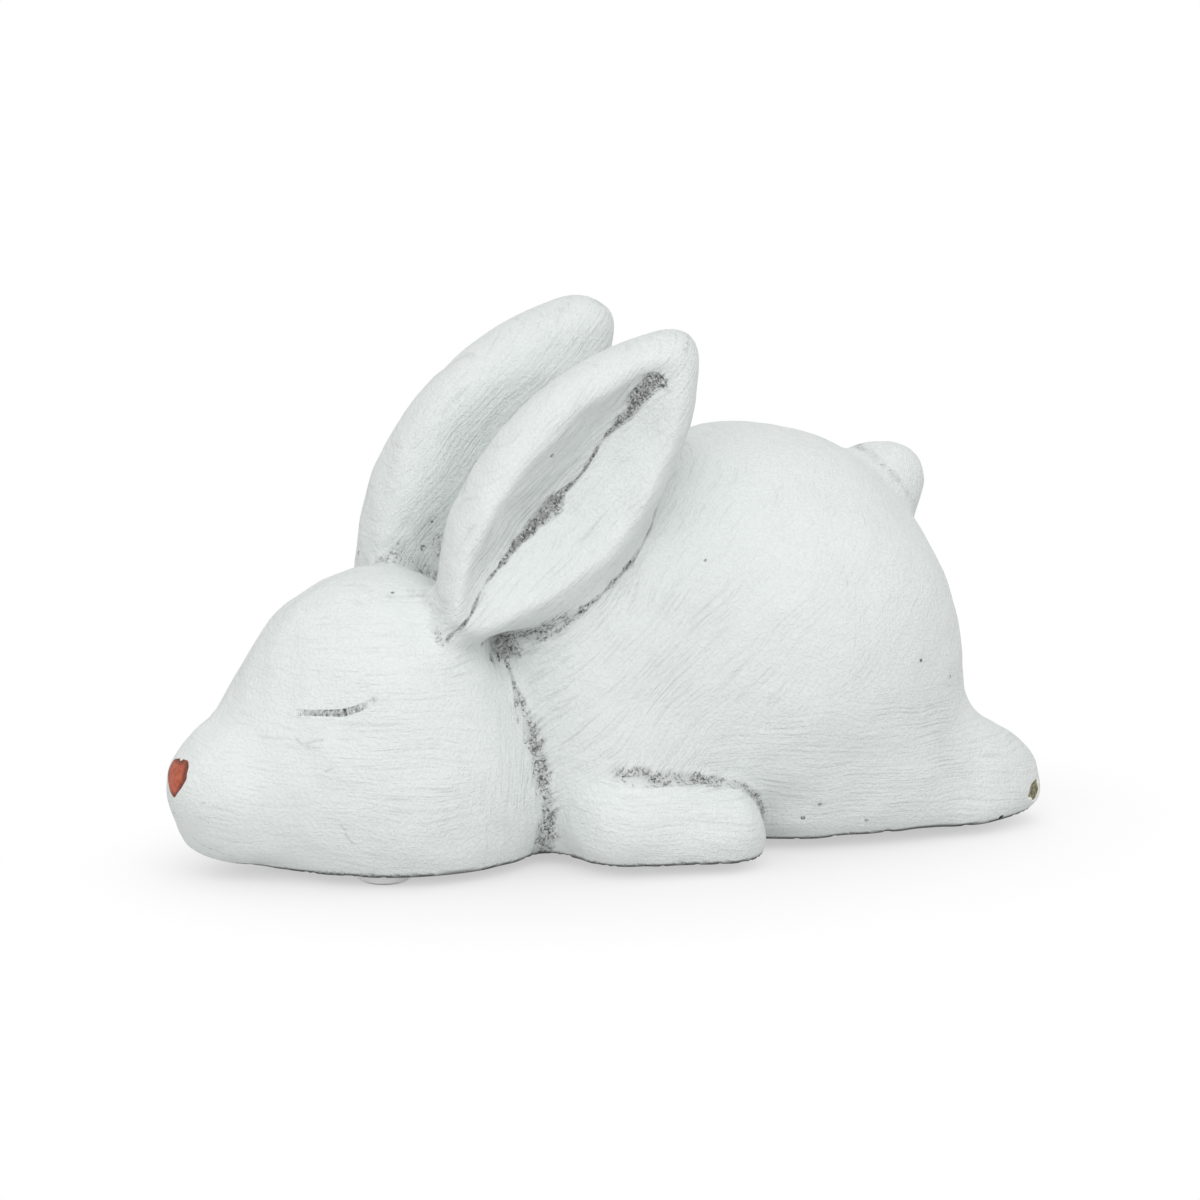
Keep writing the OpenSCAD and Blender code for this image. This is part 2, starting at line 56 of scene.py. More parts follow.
# The casting: the whole rabbit poured in one in grey cement, into a mould that is open at the
# base, so the base is flat and a little uneven and air bubbles left small pits. It is brushed by
# hand with thick matte white paint, which hardly reached into the creases.
MM = 0.001
casting_floor = 2.0
skull = ((-38.6, 0, 26), (24, 24, 24))
cheek = ((-34.1, 7.5, 10), (25, 19, 18))
muzzle_root, muzzle_root_r = (-45.1, 0, 18), 17
muzzle_tip, muzzle_tip_r = (-65.4, 0, 14.3), 11.5
trunk = ((26.9, 0, 31), (36, 33, 38.5))
rump = ((36.9, 0, 36.5), (26.5, 28, 28.5))
chest = ((-1.1, 0, 14), (22, 31.5, 26))
shoulders = ((-5.1, 0, 34), (18, 23, 22))
haunch = ((36.9, 20, 28), (25, 16, 27))
hind_foot = ((53.9, 24, 8), (23, 10, 12))
elbow, elbow_r = (-4.1, 26.5, 8.5), 9.8
paw, paw_r = (11.4, 30.5, 5.5), 8.5
tail = ((58.56, 0, 57.42), (6.5, 7, 6.5))
soft_blend, leg_blend, crease_blend, tail_blend = 12, 10, 3, 6
ear_root, ear_length, ear_width, ear_thickness = (-35.6, 17, 39), 70, 30, 15.6
ear_slope, ear_splay, ear_turn = math.radians(47.6), math.radians(1.5), math.radians(9)
ear_end, ear_taper, ear_blunt, ear_hollow_depth = 1.5, 1.1, 4, 8
ear_rim, ear_root_rim, hollow_drop = 5, -2, 1
ear_blend, ear_seat, ear_round, rim_round = 5, 9, 8, 1.4
ear_half = ear_length / 2 + ear_end
hollow_half, hollow_half_width = ear_half - ear_rim, ear_width / 2 - ear_rim + hollow_drop


def melt(a, b, width):
    h = np.maximum(width - np.abs(a - b), 0) / width
    return np.minimum(a, b) - h * h * width / 4


def pare(a, b, width):
    return -melt(-a, -b, width)


def swelling(p, form):
    (cx, cy, cz), (rx, ry, rz) = form
    ax, ay, az = (p[0] - cx) / rx, (p[1] - cy) / ry, (p[2] - cz) / rz
    k = np.sqrt(ax * ax + ay * ay + az * az)
    steep = np.sqrt((ax / rx) ** 2 + (ay / ry) ** 2 + (az / rz) ** 2)
    return k * (k - 1) / np.maximum(steep, 1e-6)


def limb(p, a, b, ra, rb):
    v = np.subtract(b, a)
    d = [p[i] - a[i] for i in range(3)]
    t = np.clip((d[0] * v[0] + d[1] * v[1] + d[2] * v[2]) / (v @ v), 0, 1)
    return np.sqrt(sum((d[i] - t * v[i]) ** 2 for i in range(3))) - ra - (rb - ra) * t


def leaf(s, w, half_length, half_width):
    r = (half_length ** 2 + half_width ** 2) / (2 * half_width)
    a = np.abs(w)
    b = np.where(a < ear_blunt, (a * a + ear_blunt ** 2) / (2 * ear_blunt), a)
    return np.sqrt(s * s + (b + r - half_width) ** 2) - r


ear_along = np.array([math.cos(ear_slope) * math.cos(ear_splay), math.sin(ear_splay),
                      math.sin(ear_slope) * math.cos(ear_splay)])
ear_face = np.array([-math.sin(ear_turn), math.cos(ear_turn), 0])
ear_face = ear_face - ear_along * (ear_face @ ear_along)
ear_face = ear_face / np.linalg.norm(ear_face)
ear_across = np.cross(ear_along, ear_face)
ear_middle = np.array(ear_root) + ear_along * ear_length / 2


def head_form(p):
    ball = melt(swelling(p, skull), swelling(p, cheek), soft_blend)
    return melt(ball, limb(p, muzzle_root, muzzle_tip, muzzle_root_r, muzzle_tip_r), soft_blend)


def trunk_form(p):
    back = melt(swelling(p, trunk), swelling(p, rump), soft_blend)
    fore = melt(swelling(p, chest), swelling(p, shoulders), soft_blend)
    sides = melt(melt(back, fore, soft_blend), swelling(p, haunch), leg_blend)
    return melt(sides, swelling(p, hind_foot), leg_blend)


def foreleg_form(p):
    return limb(p, elbow, paw, elbow_r, paw_r)


def ear_places(p):
    d = [p[i] - ear_middle[i] for i in range(3)]
    s, n, w = (d[0] * a[0] + d[1] * a[1] + d[2] * a[2] for a in (ear_along, ear_face, ear_across))
    return np.where(s < 0, s * ear_taper, s), n, w


# How far across the ear the fold of its hollow lies, which winds a little along the ear
def valley_at(s):
    winding = 0.25 - 1.05 * np.cos(0.135 * s) + 0.2 * np.cos(0.55 * s)
    return winding - 0.9 * np.exp(-((s - 19) / 6) ** 2)


def hollow_leaf(s, w):
    t = np.where(s < 0, s * hollow_half / (ear_half - ear_root_rim), s)
    return leaf(t, w, hollow_half, hollow_half_width)


def ear_form(p):
    s, n, w = ear_places(p)
    blade = pare(leaf(s, w, ear_half, ear_width / 2), np.abs(n) - ear_thickness / 2, ear_round)
    folded = hollow_leaf(s, w - valley_at(s))
    dip = np.clip(-folded / (hollow_half_width - ear_blunt / 2), 0, 1) * ear_hollow_depth
    hollow = pare(hollow_leaf(s, w + hollow_drop), ear_thickness / 2 - dip - n, rim_round)
    return pare(blade, -hollow, rim_round)


def rabbit(x, y, z):
    p = (x, np.abs(y), z)
    body = melt(trunk_form(p), foreleg_form(p), crease_blend)
    ear = ear_form(p)
    whole = melt(melt(head_form(p), body, crease_blend), swelling(p, tail), tail_blend)
    return np.minimum(melt(whole, ear, ear_blend), melt(body, ear, ear_seat))


# Slow waves that stand for the unevenness of hand work, alike at every run
def lumps(points, length, count, seed):
    rng = np.random.default_rng(seed)
    way = rng.normal(size=(count, 3))
    way = way / np.linalg.norm(way, axis=1)[:, None] * (2 * np.pi / length)
    way = way * rng.uniform(0.7, 1.4, (count, 1))
    start = rng.uniform(0, 2 * np.pi, count)
    return np.cos(points @ way.T + start).sum(1) / math.sqrt(count / 2)


def step_between(a, b, v):
    t = np.clip((v - a) / (b - a), 0, 1)
    return t * t * (3 - 2 * t)


# The closed eyes: a point marched in from the side until it meets the head, at each step of the line
eye_front, eye_length, eye_slant, eye_lift, eye_groove_r = (-59, 30.3), 10.9, 0.9, 1.7, 0.24
eye_steps, eye_middle_x, eye_reach, eye_soft = 14, -53, 9, 0.4
march_rounds, march_part, march_from = 40, 0.9, 40.0


def met_from_side(x, z):
    y = np.full(len(x), march_from)
    for n in range(march_rounds):
        y = y - head_form((x, y, z)) * march_part
    return np.stack([x, y, z], 1)


t = np.linspace(0, 1, eye_steps)
eye_line = met_from_side(eye_front[0] + t * eye_length,
                         eye_front[1] + eye_slant * t + eye_lift * np.clip((t - 0.5) / 0.5, 0, 1) ** 1.6)


def distance_to_line(points, line):
    best = np.full(len(points), 1e9)
    for a, b in zip(line[:-1], line[1:]):
        v = b - a
        s = np.clip((points - a) @ v / (v @ v), 0, 1)
        best = np.minimum(best, np.linalg.norm(points - a - s[:, None] * v, axis=1))
    return best


def eye_distance(points):
    mirrored = points * [1, 0, 1] + np.abs(points * [0, 1, 0])
    return distance_to_line(mirrored, eye_line)


def near_eye(points):
    return np.abs(points[:, 0] - eye_middle_x) < eye_reach


def carved(points):
    v = rabbit(*points.T)
    near = near_eye(points)
    v[near] = pare(v[near], eye_groove_r - eye_distance(points[near]), eye_soft)
    return v


def outwards(points, field, e=0.04):
    g = np.stack([field(points + d) - field(points - d) for d in np.eye(3) * e], 1) / (2 * e)
    return g, g / np.maximum(np.linalg.norm(g, axis=1), 1e-6)[:, None]


# Points drawn onto the surface, each by no more than a given step
def drawn(points, field, most):
    g, _ = outwards(points, field)
    size = np.maximum((g * g).sum(1), 0.05)
    step = -(field(points) / size)[:, None] * g
    far = np.linalg.norm(step, axis=1)
    return points + step * np.minimum(1, most / np.maximum(far, 1e-9))[:, None]


# The surface is met by a grid of cells, with one point in each cell and a face across each crossed edge
cell = 0.95
grid_low = np.array([-79.0, -41.3, -1.0])
grid_count = np.array([167, 88, 99])
axes = [grid_low[i] + cell * np.arange(grid_count[i]) for i in range(3)]
gx, gy, gz = np.meshgrid(*axes, indexing="ij")
value = np.maximum(rabbit(gx, gy, gz), casting_floor - gz)
inside = value < 0
corners = [(i, j, k) for i in (0, 1) for j in (0, 1) for k in (0, 1)]
cells = grid_count - 1
full = sum(inside[i:i + cells[0], j:j + cells[1], k:k + cells[2]].astype(int) for i, j, k in corners)
crossed = (full > 0) & (full < 8)
number = np.full(crossed.shape, -1)
number[crossed] = np.arange(crossed.sum())
ci = np.nonzero(crossed)
total, hits = np.zeros((len(ci[0]), 3)), np.zeros(len(ci[0]))
for a in corners:
    for d in range(3):
        if a[d] == 0:
            b = list(a)
            b[d] = 1
            va = value[ci[0] + a[0], ci[1] + a[1], ci[2] + a[2]]
            vb = value[ci[0] + b[0], ci[1] + b[1], ci[2] + b[2]]
            cut = (va < 0) != (vb < 0)
            place = np.stack([ci[i] + a[i] for i in range(3)], 1).astype(float)
            place[:, d] += np.where(cut, va / np.where(cut, va - vb, 1), 0)
            total += np.where(cut[:, None], place, 0)
            hits += cut
points = total / hits[:, None] * cell + grid_low
quads = []
for d in range(3):
    u, w = (d + 1) % 3, (d + 2) % 3
    first = inside[tuple(slice(0, grid_count[i] - (i == d)) for i in range(3))]
    second = inside[tuple(slice(1 if i == d else 0, None) for i in range(3))]
    e = np.argwhere(first != second)
    ring = []
    for du, dw in ((-1, -1), (0, -1), (0, 0), (-1, 0)):
        c = e.copy()
        c[:, u] += du
        c[:, w] += dw
        ring.append(number[tuple(c.T)])
    ring = np.stack(ring, 1)
    out = first[tuple(e.T)]
    ring[~out] = ring[~out][:, ::-1]
    quads.append(ring)
quads = np.concatenate(quads)

# The base's points lie level, and those near its edge slide out to the surface along the base
for n in range(2):
    on_base = points[:, 2] < casting_floor + 0.45 * cell
    points[~on_base] = drawn(points[~on_base], lambda q: rabbit(*q.T), cell / 2)
    points[on_base, 2] = casting_floor
    edge = on_base & (rabbit(*points.T) > -0.6 * cell)
    pulled = points[edge]
    g, _ = outwards(pulled, lambda q: rabbit(*q.T))
    g[:, 2] = 0
    pulled = pulled - (rabbit(*pulled.T) / np.maximum((g * g).sum(1), 0.2))[:, None] * g
    points[edge] = pulled
points[:, 2] = np.maximum(points[:, 2], casting_floor)

casting_mesh = bpy.data.meshes.new("casting_surface")
casting_mesh.from_pydata(points.tolist(), [], quads.tolist())
casting_mesh.validate()
bm = bmesh.new()
bm.from_mesh(casting_mesh)
# The few edges where four faces meet are closed up, so that every edge has two faces
bmesh.ops.collapse(bm, edges=[e for e in bm.edges if len(e.link_faces) != 2])

# Pits that air bubbles left, as place and radius, those on the seen side first, then a chipped heel
# and small bites out of the edge of the pour
pits = [(-25.5, 9.5, 50.7, 0.5), (-15.6, -22.2, 71.7, 0.36), (-24.0, 9.4, 55.3, 0.25),
        (-26.9, -17.0, 39.8, 0.3), (27.4, -30.9, 6.5, 0.36), (29.7, -32.9, 9.0, 0.28),
        (38.5, -33.4, 5.4, 0.3), (47.9, -34.8, 33.0, 0.3), (11.8, -24.1, 51.9, 0.2),
        (56.2, -31.1, 28.6, 0.25), (-39.4, -9.2, 48.2, 0.25), (-76.3, -0.6, 11.6, 0.25),
        (65.0, -31.6, 2.6, 0.5)]
unseen_pits, bite_count = 22, 40
rng = np.random.default_rng(11)
candidates = points[(points[:, 2] > 5) & ((points[:, 1] > 4) | (points[:, 0] > 60))]
for q in candidates[rng.choice(len(candidates), unseen_pits, replace=False)]:
    pits.append((*q, rng.uniform(0.25, 0.5)))
pits = np.array(pits)
pits[:, :3] = drawn(drawn(pits[:, :3], carved, 3), carved, 3)
chip_place, chip_size = np.array([73.3, -28.9, 6.0]), (1.9, 2.0, 1.75)
edge_points = points[(points[:, 2] > casting_floor - 0.1) & (points[:, 2] < casting_floor + 1.0)]
edge_points = edge_points[rabbit(*edge_points.T) > -0.5]
bites = edge_points[rng.choice(len(edge_points), bite_count, replace=False)]
bite_size = rng.uniform(0.35, 0.9, bite_count)


def pit_distance(q):
    return np.linalg.norm(q[:, None, :] - pits[None, :, :3], axis=2)


def bite_distance(q):
    return (np.linalg.norm((q[:, None, :] - bites[None]) * (0.7, 0.7, 1.3), axis=2) / bite_size).min(1)


def chip_distance(q):
    return np.linalg.norm((q - chip_place) / chip_size, axis=1)


# Faint scratches under the near eye and at the jaw, as the ends of their strokes, along and up
scratch_ends = (((-60.1, 26.5), (-59.5, 25.5), (-58.4, 24.9), (-56.9, 24.9)),
                ((-59.0, 25.4), (-56.4, 26.2)), ((-56.3, 21.2), (-55.3, 21.6)),
                ((-74.0, 14.6), (-73.6, 14.8)), ((-54.3, 11.8), (-53.7, 11.1)),
                ((-53.6, 10.3), (-52.8, 9.0), (-51.9, 8.5)),
                ((-74.0, 7.4), (-72.1, 6.2), (-69.4, 5.4), (-67.5, 5.0)))
scratches = [met_from_side(*np.array(ends, float).T) * [1, -1, 1] for ends in scratch_ends]


def scratch_distance(q):
    return np.min([distance_to_line(q, line) for line in scratches], 0)


# How near a place is to the ear's fold or to a crease, where the mesh has to be finer
def near_lines(q):
    side = (q[:, 0], np.abs(q[:, 1]), q[:, 2])
    s, n, w = ear_places(side)
    ear = ear_form(side)
    body = np.minimum(trunk_form(side), foreleg_form(side))
    valley = np.abs(w - valley_at(s)) + 9 * ((ear > 1.5) | (n < -3) | (n > 6) | (s > 31))
    neck = np.abs(head_form(side) - body) + np.maximum(body - 3, 0) + 9 * (q[:, 2] > 39)
    under = np.abs(ear - body) + np.maximum(body - 2, 0)
    return np.minimum(np.minimum(valley, neck), under)


def refine(choose, rounds):
    for n in range(rounds):
        bm.verts.ensure_lookup_table()
        q = np.array([v.co for v in bm.verts])
        wanted = choose(q)
        bm.verts.index_update()
        chosen = [e for e in bm.edges if wanted[e.verts[0].index] or wanted[e.verts[1].index]]
        bmesh.ops.subdivide_edges(bm, edges=chosen, cuts=1, use_grid_fill=True)


refine(lambda q: near_eye(q) & (eye_distance(q) < 1.7), 2)
refine(lambda q: near_eye(q) & (eye_distance(q) < 0.7), 1)
refine(lambda q: (q[:, 1] < 0) & (q[:, 0] < -50) & (scratch_distance(q) < 1.1), 2)
refine(lambda q: near_lines(q) < 1.6, 1)
refine(lambda q: (q[:, 2] < casting_floor + 1.2) & (rabbit(*q.T) > -1.2), 1)
refine(lambda q: near_lines(q) < 0.8, 1)
refine(lambda q: (pit_distance(q) < pits[None, :, 3] + 0.7).any(1) | (chip_distance(q) < 1.5), 2)
bmesh.ops.triangulate(bm, faces=[f for f in bm.faces if len(f.verts) > 4])

q = np.array([v.co for v in bm.verts])
loose = q[:, 2] > casting_floor + 0.2
for n in range(2):
    q[loose] = drawn(q[loose], carved, cell / 2)
q[:, 2] = np.maximum(q[:, 2], casting_floor)
_, normal = outwards(q, carved)
smooth_places = q.copy()

# How far each place lies from the forms that meet in a crease, and how bare the paint leaves it there
side = (q[:, 0], np.abs(q[:, 1]), q[:, 2])
head_d, trunk_d, leg_d, ear_d, tail_d = (
    head_form(side), trunk_form(side), foreleg_form(side), ear_form(side), swelling(side, tail))
body_d = np.minimum(trunk_d, leg_d)
ear_s, ear_n, ear_w = ear_places(side)
ear_front = (ear_d < 1) * (ear_n > -3)
patchy = 0.5 + 0.5 * np.clip(lumps(q, 7, 20, 3) * 0.8, -1, 1)
wavering = lumps(q, 3.5, 20, 4)


def crease(a, b, inner, outer, most=5):
    gap = np.abs(a - b) + 0.25 * wavering
    return (1 - step_between(inner, outer, gap)) * (np.maximum(a, b) < most)


neck_width = 0.7 + 3.0 * step_between(33, 26, q[:, 2]) * (0.6 + 0.4 * patchy)
at_neck = np.maximum(head_d, body_d) < 4
neck_bare = (1 - step_between(0.15, 1, np.abs(head_d - body_d) / neck_width)) * at_neck
neck_bare = neck_bare * (0.23 + 0.17 * patchy) * step_between(40, 34, q[:, 2])
pocket_reach = 1.8 + 4.4 * step_between(-8.5, -15.5, q[:, 0])
pocket = crease(np.minimum(ear_d, head_d), body_d, 0.8, pocket_reach, 7) * (ear_d < 6)
pocket = pocket * step_between(-9, -14, q[:, 0]) * step_between(31.5, 34.5, q[:, 2]) * (0.27 + 0.17 * patchy)
under_ear = crease(ear_d, body_d, 0.1, 1.3) * step_between(14, 3, q[:, 0]) * (0.22 + 0.4 * patchy)
ear_foot = crease(ear_d, head_d, 0.2, 2.2) * 0.2 * patchy
paw_bare = crease(leg_d, trunk_d, 0.3, 2.0) * (0.33 + 0.08 * patchy) * step_between(-10, -6, q[:, 0])
tail_bare = crease(tail_d, trunk_d, 0.2, 1.3) * (0.1 + 0.1 * patchy)
tail_bare = tail_bare * step_between(62, 58, q[:, 0] + 0.5 * (57 - q[:, 2]))
blobs = sum(size * np.exp(-((ear_s - at) / reach) ** 2) for size, at, reach in
            ((2.5, 25.5, 3), (1.1, 19, 4.5), (1.3, -4, 4), (0.6, -13, 5))) * (0.75 + 0.35 * patchy)
hollow_line = (np.abs(ear_w - valley_at(ear_s) - 0.55 * blobs) + 0.15 * wavering) / (0.2 + 1.1 * blobs)
hollow_bare = (1 - step_between(0.2, 1.7, hollow_line)) * ear_front * (ear_s < 30.5) * (ear_n < 6)
hollow_bare = hollow_bare * (0.56 + 0.2 * patchy + 0.2 * step_between(20, 25, ear_s))
along_eye = (q[:, 0] - eye_front[0]) / eye_length
eye_taper = 1 - 0.6 * step_between(0.55, 0.95, along_eye)
eye_width = 0.16 + 0.26 * step_between(-0.02, 0.2, along_eye) * eye_taper
eye_bare = 1 - step_between(0.6, 1.3, (eye_distance(q) + 0.07 * lumps(q, 1.1, 30, 12)) / eye_width)

# Fine dark lines along the bottom of a crease or a groove, some painted shadow, some where the paint hardly
# hides the cement
scratch_line = 1 - step_between(0.05, 0.32, scratch_distance(q) + 0.06 * lumps(q, 0.9, 20, 13))
valley_line = (1 - step_between(0.05, 0.45, np.abs(ear_w - valley_at(ear_s)))) * ear_front * (ear_n < 6)
neck_line = (1 - step_between(0.1, 0.9, np.abs(head_d - body_d))) * at_neck * (q[:, 2] < 38)
# Painted shadow: a dark line on the body under the ear's free edge, which lifts off the back towards its tip
ear_shadow_line = (1 - step_between(0.1, 0.6, np.abs(ear_d - body_d))) * (ear_d < 2.5) * step_between(13, 9, q[:, 0])
ear_shadow_line = ear_shadow_line * (0.4 + 1.1 * step_between(-3, 5, q[:, 0]))
tail_line = (1 - step_between(0.1, 0.6, np.abs(tail_d - trunk_d))) * (tail_d < 3)
# Painted shadow: a dark line in the crease behind the end of the paw
paw_shadow_line = (1 - step_between(0.1, 0.6, np.abs(leg_d - trunk_d))) * (leg_d < 1.5)
paw_shadow_line = paw_shadow_line * step_between(13, 17, q[:, 0])
# Painted contact shadow: a dark band along the foot of the casting, just above the level of the base
base_edge = 0.95 * step_between(casting_floor + 0.7, casting_floor + 0.35, q[:, 2])
base_edge = base_edge * step_between(-1.5, -0.5, rabbit(*q.T))
# All the dark lines together, painted shadow and bare cement alike
thin_line = np.max([eye_bare, 0.45 * valley_line, 0.2 * neck_line, 0.3 * ear_shadow_line, 0.5 * paw_shadow_line,
                    0.25 * tail_line, 0.4 * scratch_line], 0)

# All that is bare: the creases, small dusty spots on the crown, the pits and the whole underside,
# where the level pour holds less loose grit than the creases do
dusted = np.zeros(len(q))
for spot, reach in (((-27.4, 9.4, 49), 6), ((-24.5, 9.4, 54), 5),
                    ((-34.5, -17.7, 48), 4), ((-38, -9, 48.2), 2.5)):
    dusted = np.maximum(dusted, 0.3 * patchy * np.exp(-(np.linalg.norm(q - spot, axis=1) / reach) ** 2))
pit_bare = (1 - step_between(0.75, 1.1, pit_distance(q) / pits[None, :, 3])).max(1)
bare = np.max([neck_bare, pocket, under_ear, ear_foot, paw_bare, tail_bare, hollow_bare, dusted], 0)
base_inside = step_between(-1.2, -4.5, rabbit(*q.T)) * (q[:, 2] < casting_floor + 0.3)
gritty = np.maximum(bare, 0.18 * base_inside)
bare = np.maximum(bare, base_inside)
chip = 1 - step_between(0.8, 1.25, chip_distance(q) + 0.1 * lumps(q, 2.4, 20, 14))

# The shallow unevenness of hand work, and the place that is sunk a little for the nose's paint
nose_middle, nose_spread, nose_sunk, paint_room = (-76.5, 0, 18), 30, 0.2, 0.18


def hand_waves(points):
    slow = 0.16 * lumps(points, 19, 24, 5) + 0.06 * lumps(points, 8, 30, 6)
    return slow + 0.025 * lumps(points, 3.4, 40, 8)


def under_nose(points):
    x, y, z = (points[:, i] - nose_middle[i] for i in range(3))
    return np.exp(-(x ** 2 + y ** 2 + z ** 2) / nose_spread)


upright = step_between(casting_floor + 0.5, casting_floor + 5, q[:, 2])
tip_calm = 1 - 0.8 * step_between(80, 87, q[:, 2])
wave = tip_calm * hand_waves(q) * upright
pit_share = np.clip(1 - (pit_distance(q) / pits[None, :, 3]) ** 2, 0, 1)
pit_depth = (pits[None, :, 3] * 0.9 * np.sqrt(pit_share)).max(1)
chip_depth, bite_depth = 0.35, 0.2
bitten = 1 - step_between(0.6, 1.0, bite_distance(q) + 0.1 * wavering)

# The far ear, its tip above all, and the tail are a little fuller, and the back lies a little lower
far_ear_more, far_tip_more, tail_more, back_less = 0.6, 1.9, 0.6, 0.55
far_side, on_ears = step_between(2, 9, q[:, 1]), step_between(1, -1, ear_d)
far_tip = step_between(58, 74, q[:, 2])
on_back = step_between(50, 64, q[:, 2]) * step_between(0, -1, trunk_d - ear_d) * step_between(-8, 6, q[:, 0])
fuller = far_ear_more * far_side * on_ears * step_between(-24, -8, ear_s)
fuller = fuller + far_tip_more * far_side * on_ears * far_tip * np.clip(normal[:, 0], 0, 1)
fuller = fuller * (1 - step_between(0.1, 0.95, normal[:, 2]) * step_between(78, 86, q[:, 2]))
fuller = fuller + tail_more * step_between(3.0, 0.5, tail_d)
fuller = fuller - back_less * on_back * step_between(0.5, 3.0, tail_d)
q = q + normal * (wave + fuller - pit_depth - chip_depth * chip - bite_depth * bitten
                  - nose_sunk * under_nose(q) - paint_room)[:, None]

# The muzzle, the side beside the foreleg and the hind feet stand squarer where they meet the base
muzzle_square, side_square, foot_square = 1.6, 1.6, 1.3
far_out = step_between(17, 22, np.abs(q[:, 1]))
beside_leg = step_between(13, 19, q[:, 0]) * step_between(36, 24, q[:, 0]) * far_out
beside_leg = beside_leg * step_between(0, 1.5, leg_d - trunk_d)
squarer = muzzle_square * step_between(-57, -66, q[:, 0]) + side_square * beside_leg
squarer = squarer + foot_square * step_between(54, 63, q[:, 0]) * far_out
squarer = squarer * step_between(casting_floor + 8, casting_floor + 1, q[:, 2])
squarer = squarer * step_between(-5, 0, rabbit(*smooth_places.T))
level_way = normal[:, :2] / np.maximum(np.linalg.norm(normal[:, :2], axis=1), 0.05)[:, None]
q[:, :2] += level_way * squarer[:, None]

# The edge of the pour rises unevenly off the level, but not where a bumper is stuck on
bumper_spots = [(-44.1, 15.5), (-44.1, -15.5), (48.9, 17.5), (48.9, -17.5)]
most_rise = 0.45
from_bumper = np.min([np.hypot(q[:, 0] - x, q[:, 1] - y) for x, y in bumper_spots], 0)
level = q * [1, 1, 0]
rise = np.clip(0.1 + 0.12 * lumps(level, 15, 16, 9) + 0.04 * lumps(level, 4.5, 24, 10), 0, most_rise)
under_haunch = most_rise * step_between(30, 38, q[:, 0]) * step_between(58, 50, q[:, 0]) * far_out
rise = rise * (1 - beside_leg) + under_haunch
rise = rise * step_between(5.5, 9, from_bumper) * step_between(casting_floor + 2.5, casting_floor, q[:, 2])
q[:, 2] += rise
box_low, box_high = np.array(cad_low) / MM, np.array(cad_high) / MM
q = np.clip(q, box_low, box_high)
q[:, 2] = np.maximum(q[:, 2], casting_floor)

# Which way the brush went: level on the face and low on the side, slanting on the shoulder and
# the ears, upright behind the cheek
on_ear = step_between(1.0, -1.0, ear_d - np.minimum(head_d, body_d))
on_head = (1 - on_ear) * step_between(0.6, -0.6, head_d - body_d)
on_body = 1 - on_ear - on_head
cheek_back = on_head * step_between(-34, -24, q[:, 0] + 0.2 * (30 - q[:, 2]))
low_side = on_body * step_between(30, 18, q[:, 2] - 0.12 * q[:, 0]) * step_between(2, 16, q[:, 0])
haunch_top = on_body * step_between(34, 46, q[:, 2]) * step_between(20, 35, q[:, 0])
brush_level = on_head - cheek_back + low_side + on_body * (leg_d < trunk_d)
brush_upright = cheek_back + haunch_top * 0.5
brush_slant = np.clip(1 - brush_level - brush_upright, 0, 1)

# Where the paint went on thin, with painted shade on the upper slope of the ear's hollow, and how deep the
# strokes stand
in_hollow = step_between(0.5, -1.5, hollow_leaf(ear_s, ear_w + hollow_drop)) * ear_front
upper_slope = in_hollow * step_between(-0.3, 1.0, ear_w - valley_at(ear_s))
shoulder_side = on_body * brush_slant * step_between(30, 10, q[:, 0])
# The ear's upper slope is made greyer as painted shade; elsewhere this is paint that went on thin
thinly = np.max([0.8 * upper_slope, 0.6 * shoulder_side, 0.3 * on_ear, 0.3 * low_side,
                 0.25 * on_body * brush_slant], 0)
brushed = 1 - 0.65 * on_body * brush_slant * step_between(8, 26, q[:, 0]) + upper_slope
brushed = brushed * (1 - 0.5 * step_between(15, 6, q[:, 2]))
brushed = brushed * (1 - on_head * (0.2 + 0.4 * step_between(-46, -62, q[:, 0])))

bm.verts.ensure_lookup_table()
for v, place in zip(bm.verts, q * MM):
    v.co = place
bm.normal_update()
bm.to_mesh(casting_mesh)
bm.free()
casting_mesh.update()


# A value for each point of a mesh, which the materials and the grit read back by its name
def keep_on_points(mesh, name, values):
    a = mesh.attributes.new(name, "FLOAT", "POINT")
    a.data.foreach_set("value", np.asarray(values, np.float32))


def shade_smooth(mesh):
    mesh.polygons.foreach_set("use_smooth", np.ones(len(mesh.polygons), bool))


for name, values in (("bare", bare), ("gritty", gritty), ("pitted", pit_bare), ("chipped", chip),
                     ("base_edge", base_edge), ("thinly", thinly), ("brushed", brushed / 2),
                     ("thin_line", thin_line), ("brush_level", brush_level),
                     ("brush_slant", brush_slant), ("brush_upright", brush_upright)):
    keep_on_points(casting_mesh, name, np.clip(values, 0, 1))
shade_smooth(casting_mesh)
casting = bpy.data.objects.new("painted_casting", casting_mesh)
bpy.context.scene.collection.objects.link(casting)


# The casting's material: white paint over grey cement, which shows as speckles where it is bare
def new_material(name):
    m = bpy.data.materials.new(name)
    m.use_nodes = True
    m.node_tree.nodes.clear()
    return m, m.node_tree


# One node of a material or a tree, whose inputs are given values or other nodes' outputs
def put(tree, kind, inputs=None, **settings):
    n = tree.nodes.new(kind)
    for key, v in settings.items():
        setattr(n, key, v)
    for key, v in (inputs or {}).items():
        if isinstance(v, bpy.types.NodeSocket):
            tree.links.new(v, n.inputs[key])
        else:
            n.inputs[key].default_value = v
    return n


def place_in(tree):
    return put(tree, "ShaderNodeTexCoord").outputs["Object"]


def read_points(tree, name):
    return put(tree, "ShaderNodeAttribute", attribute_name=name).outputs["Fac"]


def sums(tree, operation, a, b=None, c=None, clamp=False):
    given = {i: v for i, v in enumerate((a, b, c)) if v is not None}
    return put(tree, "ShaderNodeMath", given, operation=operation, use_clamp=clamp).outputs[0]


